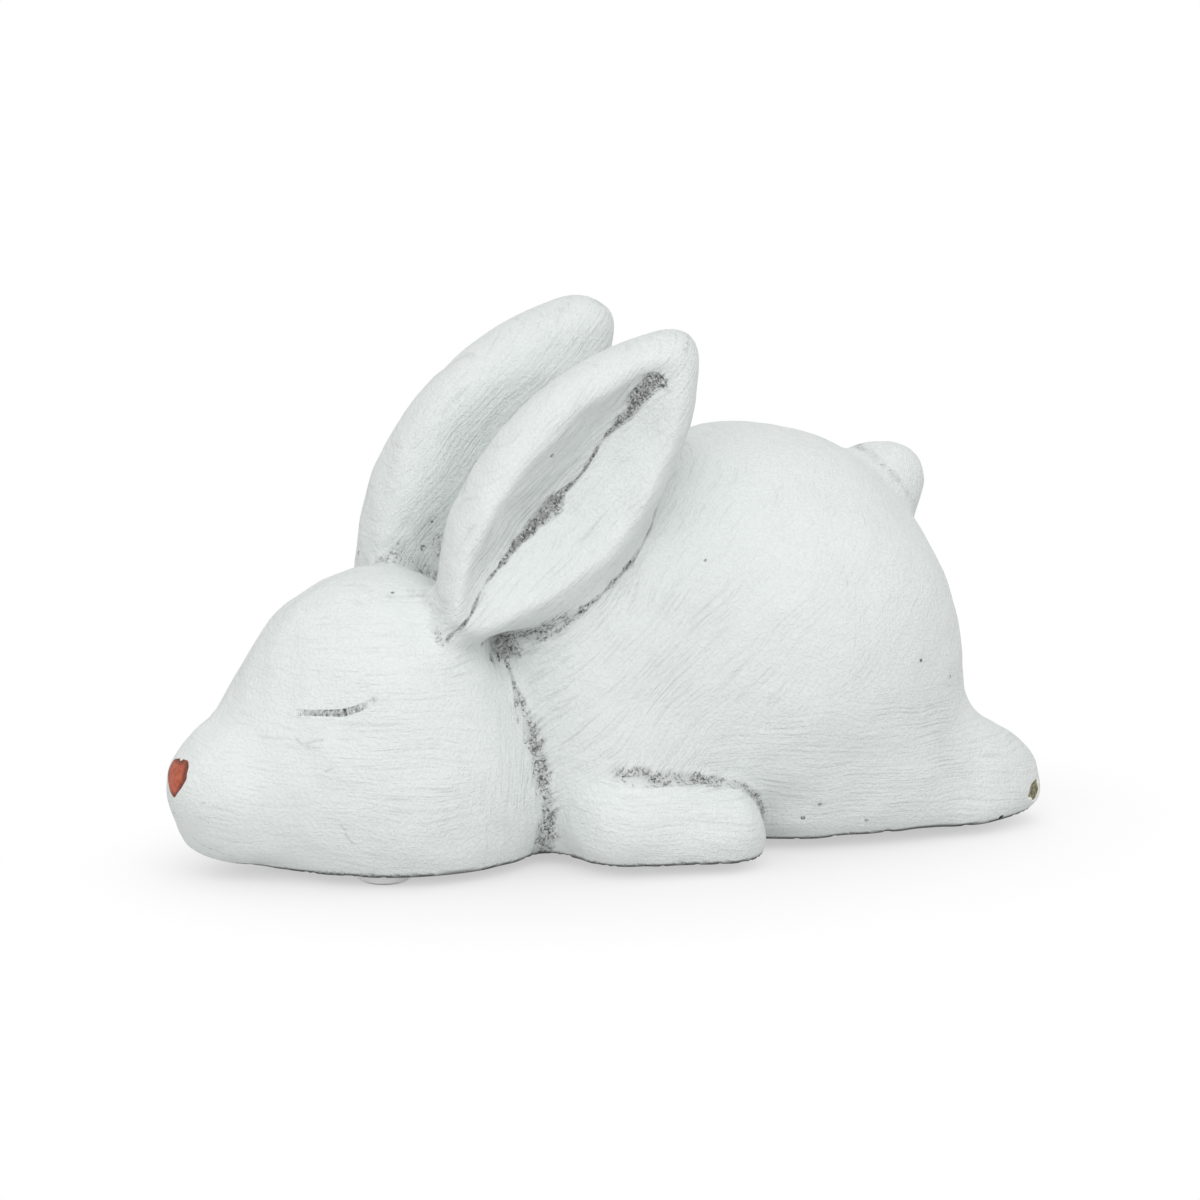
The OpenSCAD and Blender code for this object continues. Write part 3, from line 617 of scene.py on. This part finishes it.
def ranged(tree, v, low, high, to_low=0.0, to_high=1.0):
    return put(tree, "ShaderNodeMapRange", {"Value": v, "From Min": low, "From Max": high,
               "To Min": to_low, "To Max": to_high}, interpolation_type="SMOOTHSTEP").outputs["Result"]


def mixed(tree, factor, a, b):
    n = put(tree, "ShaderNodeMix", data_type="RGBA")
    for key, v in (("Factor", factor), ("A", a), ("B", b)):
        s = next(i for i in n.inputs if i.name == key and i.enabled)
        if isinstance(v, bpy.types.NodeSocket):
            tree.links.new(v, s)
        else:
            s.default_value = v
    return next(o for o in n.outputs if o.enabled)


def cloud(tree, vector, scale, detail=2.0, roughness=0.5):
    return put(tree, "ShaderNodeTexNoise", {"Vector": vector, "Scale": scale, "Detail": detail,
               "Roughness": roughness}).outputs[0]


paint_white = (0.742, 0.78, 0.764, 1)
paint_thin = (0.57, 0.602, 0.59, 1)
wash_grey = (0.5, 0.522, 0.51, 1)
cement_dark = (0.12, 0.125, 0.118, 1)
cement_light = (0.69, 0.71, 0.695, 1)
line_and_shadow_grey = (0.26, 0.27, 0.26, 1)
chip_olive = (0.13, 0.12, 0.065, 1)
chip_sand = (0.3, 0.28, 0.19, 1)
chip_rim = (0.86, 0.84, 0.74, 1)
# The colour of the painted contact shadow along the foot of the casting
contact_shadow_dark = (0.07, 0.073, 0.07, 1)
stroke_length, stroke_depth, stroke_width = 0.014, 0.006, 0.0006
stroke_sway, stroke_relief = 0.005, 0.0006
speckle_scale, patch_scale, grain_scale, wash_scale = 2300, 520, 1600, 1900

painted_cement, tree = new_material("brushed_white_paint_on_cement")
place = place_in(tree)
drift = put(tree, "ShaderNodeTexNoise", {"Vector": place, "Scale": 60, "Detail": 1.0}).outputs["Color"]
drift = put(tree, "ShaderNodeVectorMath", {0: drift, 1: (0.5, 0.5, 0.5)}, operation="SUBTRACT").outputs[0]
drift = put(tree, "ShaderNodeVectorMath", {0: drift, "Scale": stroke_sway}, operation="SCALE").outputs[0]
swayed = put(tree, "ShaderNodeVectorMath", {0: place, 1: drift}, operation="ADD").outputs[0]

# Brush strokes: long thin ridges that lie in the three ways the brush went
strokes = None
for name, turn in (("brush_level", 4), ("brush_slant", -44), ("brush_upright", -84)):
    weight = read_points(tree, name)
    lined = put(tree, "ShaderNodeMapping", {"Vector": swayed, "Rotation": (0, math.radians(turn), 0),
                "Scale": (stroke_length, stroke_depth, stroke_width)}, vector_type="TEXTURE").outputs[0]
    ridges = cloud(tree, lined, 1.0, 3.0, 0.6)
    one = sums(tree, "MULTIPLY", weight, ridges)
    strokes = one if strokes is None else sums(tree, "ADD", strokes, one)
laid_on = ranged(tree, cloud(tree, place, 90, 2.0), 0.35, 0.65, 0.7, 2.0)
laid_on = sums(tree, "MULTIPLY", laid_on, read_points(tree, "brushed"))

# Where the paint is missing, thin or grey, what shows there, the chip, and a painted contact shadow along the
# foot of the casting
bare_at = read_points(tree, "bare")
pitted_at = read_points(tree, "pitted")
chipped_at = read_points(tree, "chipped")
speckle = ranged(tree, cloud(tree, place, speckle_scale, 4.0, 0.75), 0.32, 0.70)
patch = ranged(tree, cloud(tree, place, patch_scale, 2.0), 0.3, 0.7, -0.2, 0.2)
missing = sums(tree, "SUBTRACT", sums(tree, "ADD", bare_at, patch), speckle)
missing = sums(tree, "ADD", missing, sums(tree, "MULTIPLY_ADD", strokes, -1.1, 0.52))
missing = ranged(tree, missing, -0.05, 0.4)
missing = sums(tree, "MULTIPLY", missing, ranged(tree, bare_at, 0.02, 0.3))
missing = sums(tree, "MAXIMUM", missing, pitted_at)
grains = ranged(tree, cloud(tree, place, grain_scale, 2.0, 0.6), 0.42, 0.58)
cement = mixed(tree, grains, cement_dark, cement_light)
thin = ranged(tree, sums(tree, "ADD", strokes, sums(tree, "MULTIPLY", bare_at, -0.8)), 0.48, 0.2)
# Thin paint, and painted shade on the upper slope of the ear's hollow, both make the white greyer
thin_paint_and_shade_at = read_points(tree, "thinly")
thin = sums(tree, "MULTIPLY", thin, sums(tree, "MULTIPLY_ADD", thin_paint_and_shade_at, 0.5, 0.5))
thin = sums(tree, "MULTIPLY_ADD", thin_paint_and_shade_at, 0.35, thin, clamp=True)
paint = mixed(tree, thin, paint_white, paint_thin)
paint = mixed(tree, ranged(tree, bare_at, 0.0, 0.5, 0.0, 0.7), paint, wash_grey)
# The dark lines: cement showing in creases and grooves, and painted shadow under the ear's edge and behind
# the paw
lines_and_shadow_at = read_points(tree, "thin_line")
settled = ranged(tree, cloud(tree, place, wash_scale, 3.0, 0.7), 0.36, 0.6, 0.25, 0.95)
paint = mixed(tree, sums(tree, "MULTIPLY", lines_and_shadow_at, settled), paint, line_and_shadow_grey)
colour = mixed(tree, missing, paint, cement)
colour = mixed(tree, ranged(tree, chipped_at, 0.05, 0.4), colour, chip_rim)
colour = mixed(tree, ranged(tree, chipped_at, 0.5, 0.75), colour, mixed(tree, grains, chip_olive, chip_sand))
# The painted contact shadow: the foot of the casting is coloured dark where it meets the base
colour = mixed(tree, read_points(tree, "base_edge"), colour, contact_shadow_dark)
height = sums(tree, "MULTIPLY", strokes, laid_on)
height = sums(tree, "ADD", height, sums(tree, "MULTIPLY", missing, -0.7))
height = sums(tree, "ADD", height, sums(tree, "MULTIPLY", grains, 0.12))
bump = put(tree, "ShaderNodeBump", {"Height": height, "Strength": 0.9, "Distance": stroke_relief})
shader = put(tree, "ShaderNodeBsdfPrincipled", {"Base Color": colour, "Normal": bump.outputs[0],
             "Roughness": ranged(tree, missing, 0.0, 1.0, 0.74, 0.92), "Specular IOR Level": 0.3})
put(tree, "ShaderNodeOutputMaterial", {"Surface": shader.outputs[0]})
casting_mesh.materials.append(painted_cement)

# Grit: grains of sand that stand out of the cement where the paint left it bare, the more the barer
# it is, each of its own size and turned its own way
grain_radius, grains_per_area, grain_seed, grain_crowding = 0.00014, 900000, 3, 1.6
grain_least, grain_most, full_turn = (0.4, 0.4, 0.4), (1.3, 1.3, 1.0), 6.28
grit = bpy.data.node_groups.new("grit_on_bare_cement", "GeometryNodeTree")
for name, kind in (("Casting", "NodeSocketGeometry"), ("Grain radius", "NodeSocketFloat"),
                   ("Grains per square metre", "NodeSocketFloat"), ("Grain seed", "NodeSocketInt"),
                   ("Grain material", "NodeSocketMaterial")):
    grit.interface.new_socket(name, in_out="INPUT", socket_type=kind)
grit.interface.new_socket("Casting with grit", in_out="OUTPUT", socket_type="NodeSocketGeometry")
given = put(grit, "NodeGroupInput")
bare_here = put(grit, "GeometryNodeInputNamedAttribute", {"Name": "gritty"}, data_type="FLOAT").outputs[0]
crowded = put(grit, "ShaderNodeMath", {0: bare_here, 1: grain_crowding}, operation="POWER").outputs[0]
many = put(grit, "ShaderNodeMath", {0: crowded, 1: given.outputs["Grains per square metre"]},
           operation="MULTIPLY").outputs[0]
spots = put(grit, "GeometryNodeDistributePointsOnFaces", {"Mesh": given.outputs["Casting"], "Density": many,
            "Seed": given.outputs["Grain seed"]}, distribute_method="RANDOM")
grain = put(grit, "GeometryNodeMeshIcoSphere", {"Radius": given.outputs["Grain radius"], "Subdivisions": 1})
sizes = put(grit, "FunctionNodeRandomValue", data_type="FLOAT_VECTOR")
sizes.inputs["Min"].default_value = grain_least
sizes.inputs["Max"].default_value = grain_most
turns = put(grit, "FunctionNodeRandomValue", data_type="FLOAT_VECTOR")
turns.inputs["Max"].default_value = (full_turn,) * 3
scattered = put(grit, "GeometryNodeInstanceOnPoints", {"Points": spots.outputs["Points"],
                "Instance": grain.outputs["Mesh"], "Scale": sizes.outputs[0], "Rotation": turns.outputs[0]})
made_real = put(grit, "GeometryNodeRealizeInstances", {0: scattered.outputs[0]})
both = put(grit, "GeometryNodeJoinGeometry")
grit.links.new(made_real.outputs[0], both.inputs[0])
grit.links.new(given.outputs["Casting"], both.inputs[0])
finished = put(grit, "GeometryNodeSetMaterial", {"Geometry": both.outputs[0],
               "Material": given.outputs["Grain material"]})
put(grit, "NodeGroupOutput", {0: finished.outputs[0]})


def run_tree(piece, tree, values):
    m = piece.modifiers.new(tree.name, "NODES")
    m.node_group = tree
    for s in tree.interface.items_tree:
        if s.item_type == "SOCKET" and s.in_out == "INPUT" and s.name in values:
            m[s.identifier] = values[s.name]
    bpy.context.view_layer.update()
    done = bpy.data.meshes.new_from_object(piece.evaluated_get(bpy.context.evaluated_depsgraph_get()))
    piece.modifiers.clear()
    piece.data = done


run_tree(casting, grit, {"Grain radius": grain_radius, "Grains per square metre": grains_per_area,
                         "Grain seed": grain_seed, "Grain material": painted_cement})
shade_smooth(casting.data)
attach(casting, "root")
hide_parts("casting")

# The nose: one coat of rust red craft paint, brushed on by hand over the white as a small heart
# with an uneven edge. It is a thin skin of its own, darker where it dried thick along the edge.
nose_width, nose_height, nose_notch, nose_low = 7.2, 6.4, 0.2, 14.5
nose_proud, nose_depth, nose_widest, nose_aside, nose_lean = 0.1, 0.35, 0.62, 0.3, 1.4
nose_cols, nose_rows, before_nose = 36, 26, -79.0


# Half the heart's width, as a share of its most, at a share of its height
def nose_half_width(v):
    low_part = np.sin(np.pi / 2 * np.clip(v / nose_widest, 0, 1))
    top_part = 0.5 + 0.5 * np.sqrt(np.clip(1 - ((v - nose_widest) / (1 - nose_widest)) ** 2, 0, 1))
    return np.where(v < nose_widest, low_part, top_part)


u, v = np.meshgrid(np.linspace(-1, 1, nose_cols + 1), 0.03 + 0.97 * np.linspace(0, 1, nose_rows + 1))
u, v = u.ravel(), v.ravel()
ragged = 1 + 0.03 * np.sin(7 * v + 2 * u) + 0.02 * np.sin(23 * v + 1)
ny = u * nose_half_width(v) * nose_width / 2 * ragged - nose_aside - nose_lean * (1 - v) ** 2
notch = nose_notch * np.exp(-(u / 0.3) ** 2) + 0.08 * np.sin(7 * u + 1)
nz = nose_low + v * nose_height - v ** 5 * notch - 0.25 * u * v
nx = np.full(len(ny), before_nose)
for n in range(march_rounds):
    nx = nx + head_form((nx, np.abs(ny), nz)) * march_part
skin = np.stack([nx, ny, nz], 1)
_, nose_out = outwards(skin, lambda q: rabbit(*q.T))
to_edge = np.maximum(np.abs(u), np.abs(2 * v - 1.03))
seat = hand_waves(skin) - (nose_sunk * under_nose(skin) + paint_room)
coat = nose_proud * np.sqrt(np.clip(1.02 - to_edge ** 6, 0, 1))
outer = skin + nose_out * (seat + coat)[:, None]
inner = skin + nose_out * (seat - nose_depth)[:, None]
wide, layer = nose_cols + 1, len(skin)
faces = []
for r in range(nose_rows):
    for c in range(nose_cols):
        a = r * wide + c
        faces.append((a, a + 1, a + wide + 1, a + wide))
        faces.append((a + layer + wide, a + layer + wide + 1, a + layer + 1, a + layer))
rim = [*range(nose_cols), *(r * wide + nose_cols for r in range(nose_rows)),
       *(nose_rows * wide + c for c in range(nose_cols, 0, -1)), *(r * wide for r in range(nose_rows, 0, -1))]
for a, b in zip(rim, rim[1:] + rim[:1]):
    faces.append((b, a, a + layer, b + layer))
nose_mesh = bpy.data.meshes.new("nose_coat")
nose_mesh.from_pydata((np.clip(np.concatenate([outer, inner]), box_low, box_high) * MM).tolist(), [], faces)
bm = bmesh.new()
bm.from_mesh(nose_mesh)
bmesh.ops.recalc_face_normals(bm, faces=bm.faces)
bm.to_mesh(nose_mesh)
bm.free()
shade_smooth(nose_mesh)
keep_on_points(nose_mesh, "nose_edge", np.tile(step_between(0.58, 0.86, to_edge), 2))
nose = bpy.data.objects.new("painted_nose", nose_mesh)
bpy.context.scene.collection.objects.link(nose)

nose_dark = (0.16, 0.045, 0.028, 1)
nose_red = (0.44, 0.085, 0.04, 1)
nose_light = (0.62, 0.19, 0.11, 1)
nose_material, tree = new_material("rust_red_nose_paint")
place = place_in(tree)
mottle = ranged(tree, cloud(tree, place, 900, 3.0, 0.6), 0.35, 0.7)
lined = put(tree, "ShaderNodeMapping", {"Vector": place, "Rotation": (0.5, 0, 0),
            "Scale": (0.0004, 0.0004, 0.003)}, vector_type="TEXTURE").outputs[0]
hairs = cloud(tree, lined, 1.0, 2.0)
colour = mixed(tree, sums(tree, "MULTIPLY", mottle, 0.6), nose_red, nose_light)
thick = read_points(tree, "nose_edge")
thick = sums(tree, "MULTIPLY", thick, ranged(tree, cloud(tree, place, 1200, 2.0), 0.35, 0.6, 0.55, 1.0))
thick = sums(tree, "MAXIMUM", thick, ranged(tree, cloud(tree, place, 1500, 3.0, 0.7), 0.5, 0.66, 0.0, 0.6))
colour = mixed(tree, thick, colour, nose_dark)
bump = put(tree, "ShaderNodeBump", {"Height": sums(tree, "ADD", hairs, mottle), "Strength": 0.35,
           "Distance": 0.0001})
shader = put(tree, "ShaderNodeBsdfPrincipled", {"Base Color": colour, "Normal": bump.outputs[0],
             "Roughness": ranged(tree, mottle, 0, 1, 0.55, 0.7), "Specular IOR Level": 0.3})
put(tree, "ShaderNodeOutputMaterial", {"Surface": shader.outputs[0]})
nose_mesh.materials.append(nose_material)
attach(nose, "root")
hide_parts("nose_paint")

# The bumpers: four low domes of clear cast polyurethane, stuck under the base with the dome down,
# so that the casting does not scratch what it stands on. The dome is flattened where it rests.
bumper_r, bumper_flat_r, bumper_height = 5.0, 3.2, 1.85
bumper_lip, bumper_bevel, around, up = 0.15, 0.06, 64, 12
# How high up and from how far out the bumper's painted shadow ring reaches
shadow_rim_height, shadow_rim_inner = 0.3, 3
turned = [(0.0, bumper_height)]
turned += [(r, bumper_height) for r in (2.5, 4.4, 4.9)]
turned += [(bumper_r, bumper_height - bumper_bevel)]
turned += [(bumper_flat_r + (bumper_r - bumper_flat_r) * math.cos(a),
            (bumper_height - bumper_lip) * (1 - math.sin(a))) for a in np.linspace(0, math.pi / 2, up)]
turned += [(bumper_flat_r / 2, 0.0), (0.0, 0.0)]
bm = bmesh.new()
rings = []
for r, z in turned:
    if r == 0:
        rings.append([bm.verts.new((0, 0, z * MM))])
        continue
    turns = [2 * math.pi * n / around for n in range(around)]
    rings.append([bm.verts.new((r * MM * math.cos(a), r * MM * math.sin(a), z * MM)) for a in turns])
for a, b in zip(rings[:-1], rings[1:]):
    for n in range(around):
        m = (n + 1) % around
        ring = [a[n % len(a)], a[m % len(a)], b[m % len(b)], b[n % len(b)]]
        bm.faces.new(list(dict.fromkeys(ring)))
bmesh.ops.recalc_face_normals(bm, faces=bm.faces)
dome_mesh = bpy.data.meshes.new("bumper_dome")
bm.to_mesh(dome_mesh)
# A painted contact shadow: the outer edge of the flat where each bumper rests is marked to be coloured dark
keep_on_points(dome_mesh, "painted_rim_shadow",
               [(v.co.z < shadow_rim_height * MM) * (v.co.xy.length > shadow_rim_inner * MM) for v in bm.verts])
bm.free()
dome = bpy.data.objects.new("bumper_dome", dome_mesh)
spots_mesh = bpy.data.meshes.new("bumper_spots")
spots_mesh.from_pydata([(x * MM, y * MM, 0) for x, y in bumper_spots], [], [])
bumpers = bpy.data.objects.new("clear_bumpers", spots_mesh)
bpy.context.scene.collection.objects.link(bumpers)

bumper_clear, bumper_rim_shadow = (0.96, 0.97, 0.965, 1), (0.06, 0.065, 0.065, 1)
clear_plastic, tree = new_material("clear_polyurethane")
place = place_in(tree)
haze = ranged(tree, cloud(tree, place, 350, 2.0), 0.3, 0.7, 0.06, 0.16)
bump = put(tree, "ShaderNodeBump", {"Height": cloud(tree, place, 700, 2.0), "Strength": 0.15,
           "Distance": 0.00005})
# The painted contact shadow: a dark ring round the edge of the bumper's flat where it rests
colour = mixed(tree, ranged(tree, read_points(tree, "painted_rim_shadow"), 0.1, 0.6), bumper_clear, bumper_rim_shadow)
shader = put(tree, "ShaderNodeBsdfPrincipled", {"Base Color": colour, "Roughness": haze,
             "Normal": bump.outputs[0], "IOR": 1.48, "Transmission Weight": 0.15, "Specular IOR Level": 0.5})
put(tree, "ShaderNodeOutputMaterial", {"Surface": shader.outputs[0]})

sticking = bpy.data.node_groups.new("bumpers_on_their_spots", "GeometryNodeTree")
for name, kind in (("Bumper spots", "NodeSocketGeometry"), ("Bumper", "NodeSocketObject"),
                   ("Bumper size", "NodeSocketFloat"), ("Bumper material", "NodeSocketMaterial")):
    sticking.interface.new_socket(name, in_out="INPUT", socket_type=kind)
sticking.interface.new_socket("Bumpers", in_out="OUTPUT", socket_type="NodeSocketGeometry")
given = put(sticking, "NodeGroupInput")
one = put(sticking, "GeometryNodeObjectInfo", {"Object": given.outputs["Bumper"]})
on_spots = put(sticking, "GeometryNodeInstanceOnPoints", {"Points": given.outputs["Bumper spots"],
               "Instance": one.outputs["Geometry"], "Scale": given.outputs["Bumper size"]})
made_real = put(sticking, "GeometryNodeRealizeInstances", {0: on_spots.outputs[0]})
finished = put(sticking, "GeometryNodeSetMaterial", {"Geometry": made_real.outputs[0],
               "Material": given.outputs["Bumper material"]})
put(sticking, "NodeGroupOutput", {0: finished.outputs[0]})
run_tree(bumpers, sticking, {"Bumper": dome, "Bumper size": 1.0, "Bumper material": clear_plastic})
shade_smooth(bumpers.data)
bpy.data.objects.remove(dome)
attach(bumpers, "root")
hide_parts("bumper_front_left", "bumper_front_right", "bumper_rear_left", "bumper_rear_right")

# The adhesive: a thin clear film of acrylic glue between each bumper and the cement, slightly milky
# where it holds small air bubbles. Its solids stay as they are and only get their finish here.
film_clear, film_milky = (0.72, 0.74, 0.73, 1), (0.86, 0.88, 0.88, 1)
film, tree = new_material("clear_adhesive_film")
place = place_in(tree)
bubbles = ranged(tree, cloud(tree, place, 1100, 2.0), 0.45, 0.62)
colour = mixed(tree, bubbles, film_clear, film_milky)
bump = put(tree, "ShaderNodeBump", {"Height": bubbles, "Strength": 0.2, "Distance": 0.00005})
shader = put(tree, "ShaderNodeBsdfPrincipled", {"Base Color": colour, "Normal": bump.outputs[0],
             "Roughness": ranged(tree, bubbles, 0, 1, 0.25, 0.5), "IOR": 1.47, "Transmission Weight": 0.5})
put(tree, "ShaderNodeOutputMaterial", {"Surface": shader.outputs[0]})
for end in ("front", "rear"):
    for way in ("left", "right"):
        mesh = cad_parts[f"adhesive_{end}_{way}"].data
        mesh.materials.clear()
        mesh.materials.append(film)

# The studio: a white sweep of paper under soft light from above and from the front left. It keeps
# a faint shadow close around the rabbit and is plain white further out.
floor_half, floor_grey, floor_glow, seen_grey, air_strength = 4, 0.5, 0.2, 0.12, 0.74
shadow_middle, shadow_half_size, shadow_reach = (0.002, -0.025, 0), (0.106, 0.066, 1), 0.07
floor_mesh = bpy.data.meshes.new("studio_floor")
floor_mesh.from_pydata([(floor_half * x, floor_half * y, 0) for x, y in ((-1, -1), (1, -1), (1, 1), (-1, 1))],
                       [], [(0, 1, 2, 3)])
floor = bpy.data.objects.new("studio_floor", floor_mesh)
bpy.context.scene.collection.objects.link(floor)


def seen_by_camera(tree):
    path = put(tree, "ShaderNodeLightPath").outputs
    mirrored = sums(tree, "MAXIMUM", path["Is Glossy Ray"], path["Is Transmission Ray"])
    return sums(tree, "MAXIMUM", path["Is Camera Ray"], mirrored)


floor_material, tree = new_material("studio_white")
place = place_in(tree)
away = put(tree, "ShaderNodeMapping", {"Vector": place, "Location": shadow_middle,
           "Scale": shadow_half_size}, vector_type="TEXTURE").outputs[0]
away = put(tree, "ShaderNodeVectorMath", {0: away}, operation="LENGTH").outputs["Value"]
near = put(tree, "ShaderNodeAmbientOcclusion", {"Distance": shadow_reach}, samples=12).outputs["AO"]
deepest = ranged(tree, near, 0.0, 0.1, 0.8, 1.0)
shade = sums(tree, "MULTIPLY", sums(tree, "MULTIPLY_ADD", near, 0.3, 0.6), deepest)
lit_floor = put(tree, "ShaderNodeBsdfDiffuse", {"Color": (floor_grey, floor_grey, floor_grey, 1)})
# The floor also gives off a little light of its own, painted light that brightens the rabbit's underside and
# low sides
glow = put(tree, "ShaderNodeEmission", {"Color": (1, 1, 1, 1), "Strength": floor_glow})
lit_floor = put(tree, "ShaderNodeAddShader", {0: lit_floor.outputs[0], 1: glow.outputs[0]})
seen_floor = put(tree, "ShaderNodeBsdfDiffuse", {"Color": (seen_grey, seen_grey, seen_grey, 1)})
lift = put(tree, "ShaderNodeEmission", {"Color": (1, 1, 1, 1), "Strength": shade})
seen_near = put(tree, "ShaderNodeAddShader", {0: seen_floor.outputs[0], 1: lift.outputs[0]})
white = put(tree, "ShaderNodeEmission", {"Color": (1, 1, 1, 1), "Strength": 1.0})
seen_all = put(tree, "ShaderNodeMixShader", {0: ranged(tree, away, 0.8, 1.2), 1: seen_near.outputs[0],
               2: white.outputs[0]})
both = put(tree, "ShaderNodeMixShader", {0: seen_by_camera(tree), 1: lit_floor.outputs[0],
           2: seen_all.outputs[0]})
put(tree, "ShaderNodeOutputMaterial", {"Surface": both.outputs[0]})
floor_mesh.materials.append(floor_material)

# The air of the studio lights the rabbit evenly from all sides, and is seen as plain white
world = bpy.data.worlds.new("studio_air")
bpy.context.scene.world = world
world.use_nodes = True
world.node_tree.nodes.clear()
tree = world.node_tree
air = put(tree, "ShaderNodeBackground", {"Color": (1, 1, 1, 1), "Strength": air_strength})
backdrop = put(tree, "ShaderNodeBackground", {"Color": (1, 1, 1, 1), "Strength": 1.0})
both = put(tree, "ShaderNodeMixShader", {0: seen_by_camera(tree), 1: air.outputs[0], 2: backdrop.outputs[0]})
put(tree, "ShaderNodeOutputWorld", {"Surface": both.outputs[0]})

# Two square soft boxes, each with its place from the rabbit's middle, its width and its power
middle = Vector((0, 0, 0.04))
for name, away, size, power in (("soft_box_above", (-0.10, -0.73, 0.82), 0.7, 4.5),
                                ("soft_box_left", (-0.95, -0.60, 0.18), 0.6, 1.9)):
    light = bpy.data.lights.new(name, "AREA")
    light.shape = "SQUARE"
    light.size = size
    light.energy = power
    lamp = bpy.data.objects.new(name, light)
    lamp.location = middle + Vector(away)
    lamp.rotation_euler = (middle - lamp.location).to_track_quat("-Z", "Y").to_euler()
    bpy.context.scene.collection.objects.link(lamp)

# The camera, turned towards the nose and a little raised, with the long lens of the photograph
camera_turn, camera_height, camera_distance = math.radians(25), math.radians(12.5), 1.04
looking_at = Vector((0.0034, 0, 0.0409))
sight = Vector((math.sin(camera_turn) * math.cos(camera_height),
                math.cos(camera_turn) * math.cos(camera_height), -math.sin(camera_height)))
lens = bpy.data.cameras.new("camera")
lens.sensor_width = 36
lens.lens = 180
lens.clip_start, lens.clip_end = 0.01, 20
camera = bpy.data.objects.new("camera", lens)
camera.location = looking_at - sight * camera_distance
camera.rotation_euler = sight.to_track_quat("-Z", "Y").to_euler()
bpy.context.scene.collection.objects.link(camera)
bpy.context.scene.camera = camera
bpy.context.scene.view_settings.view_transform = "Standard"
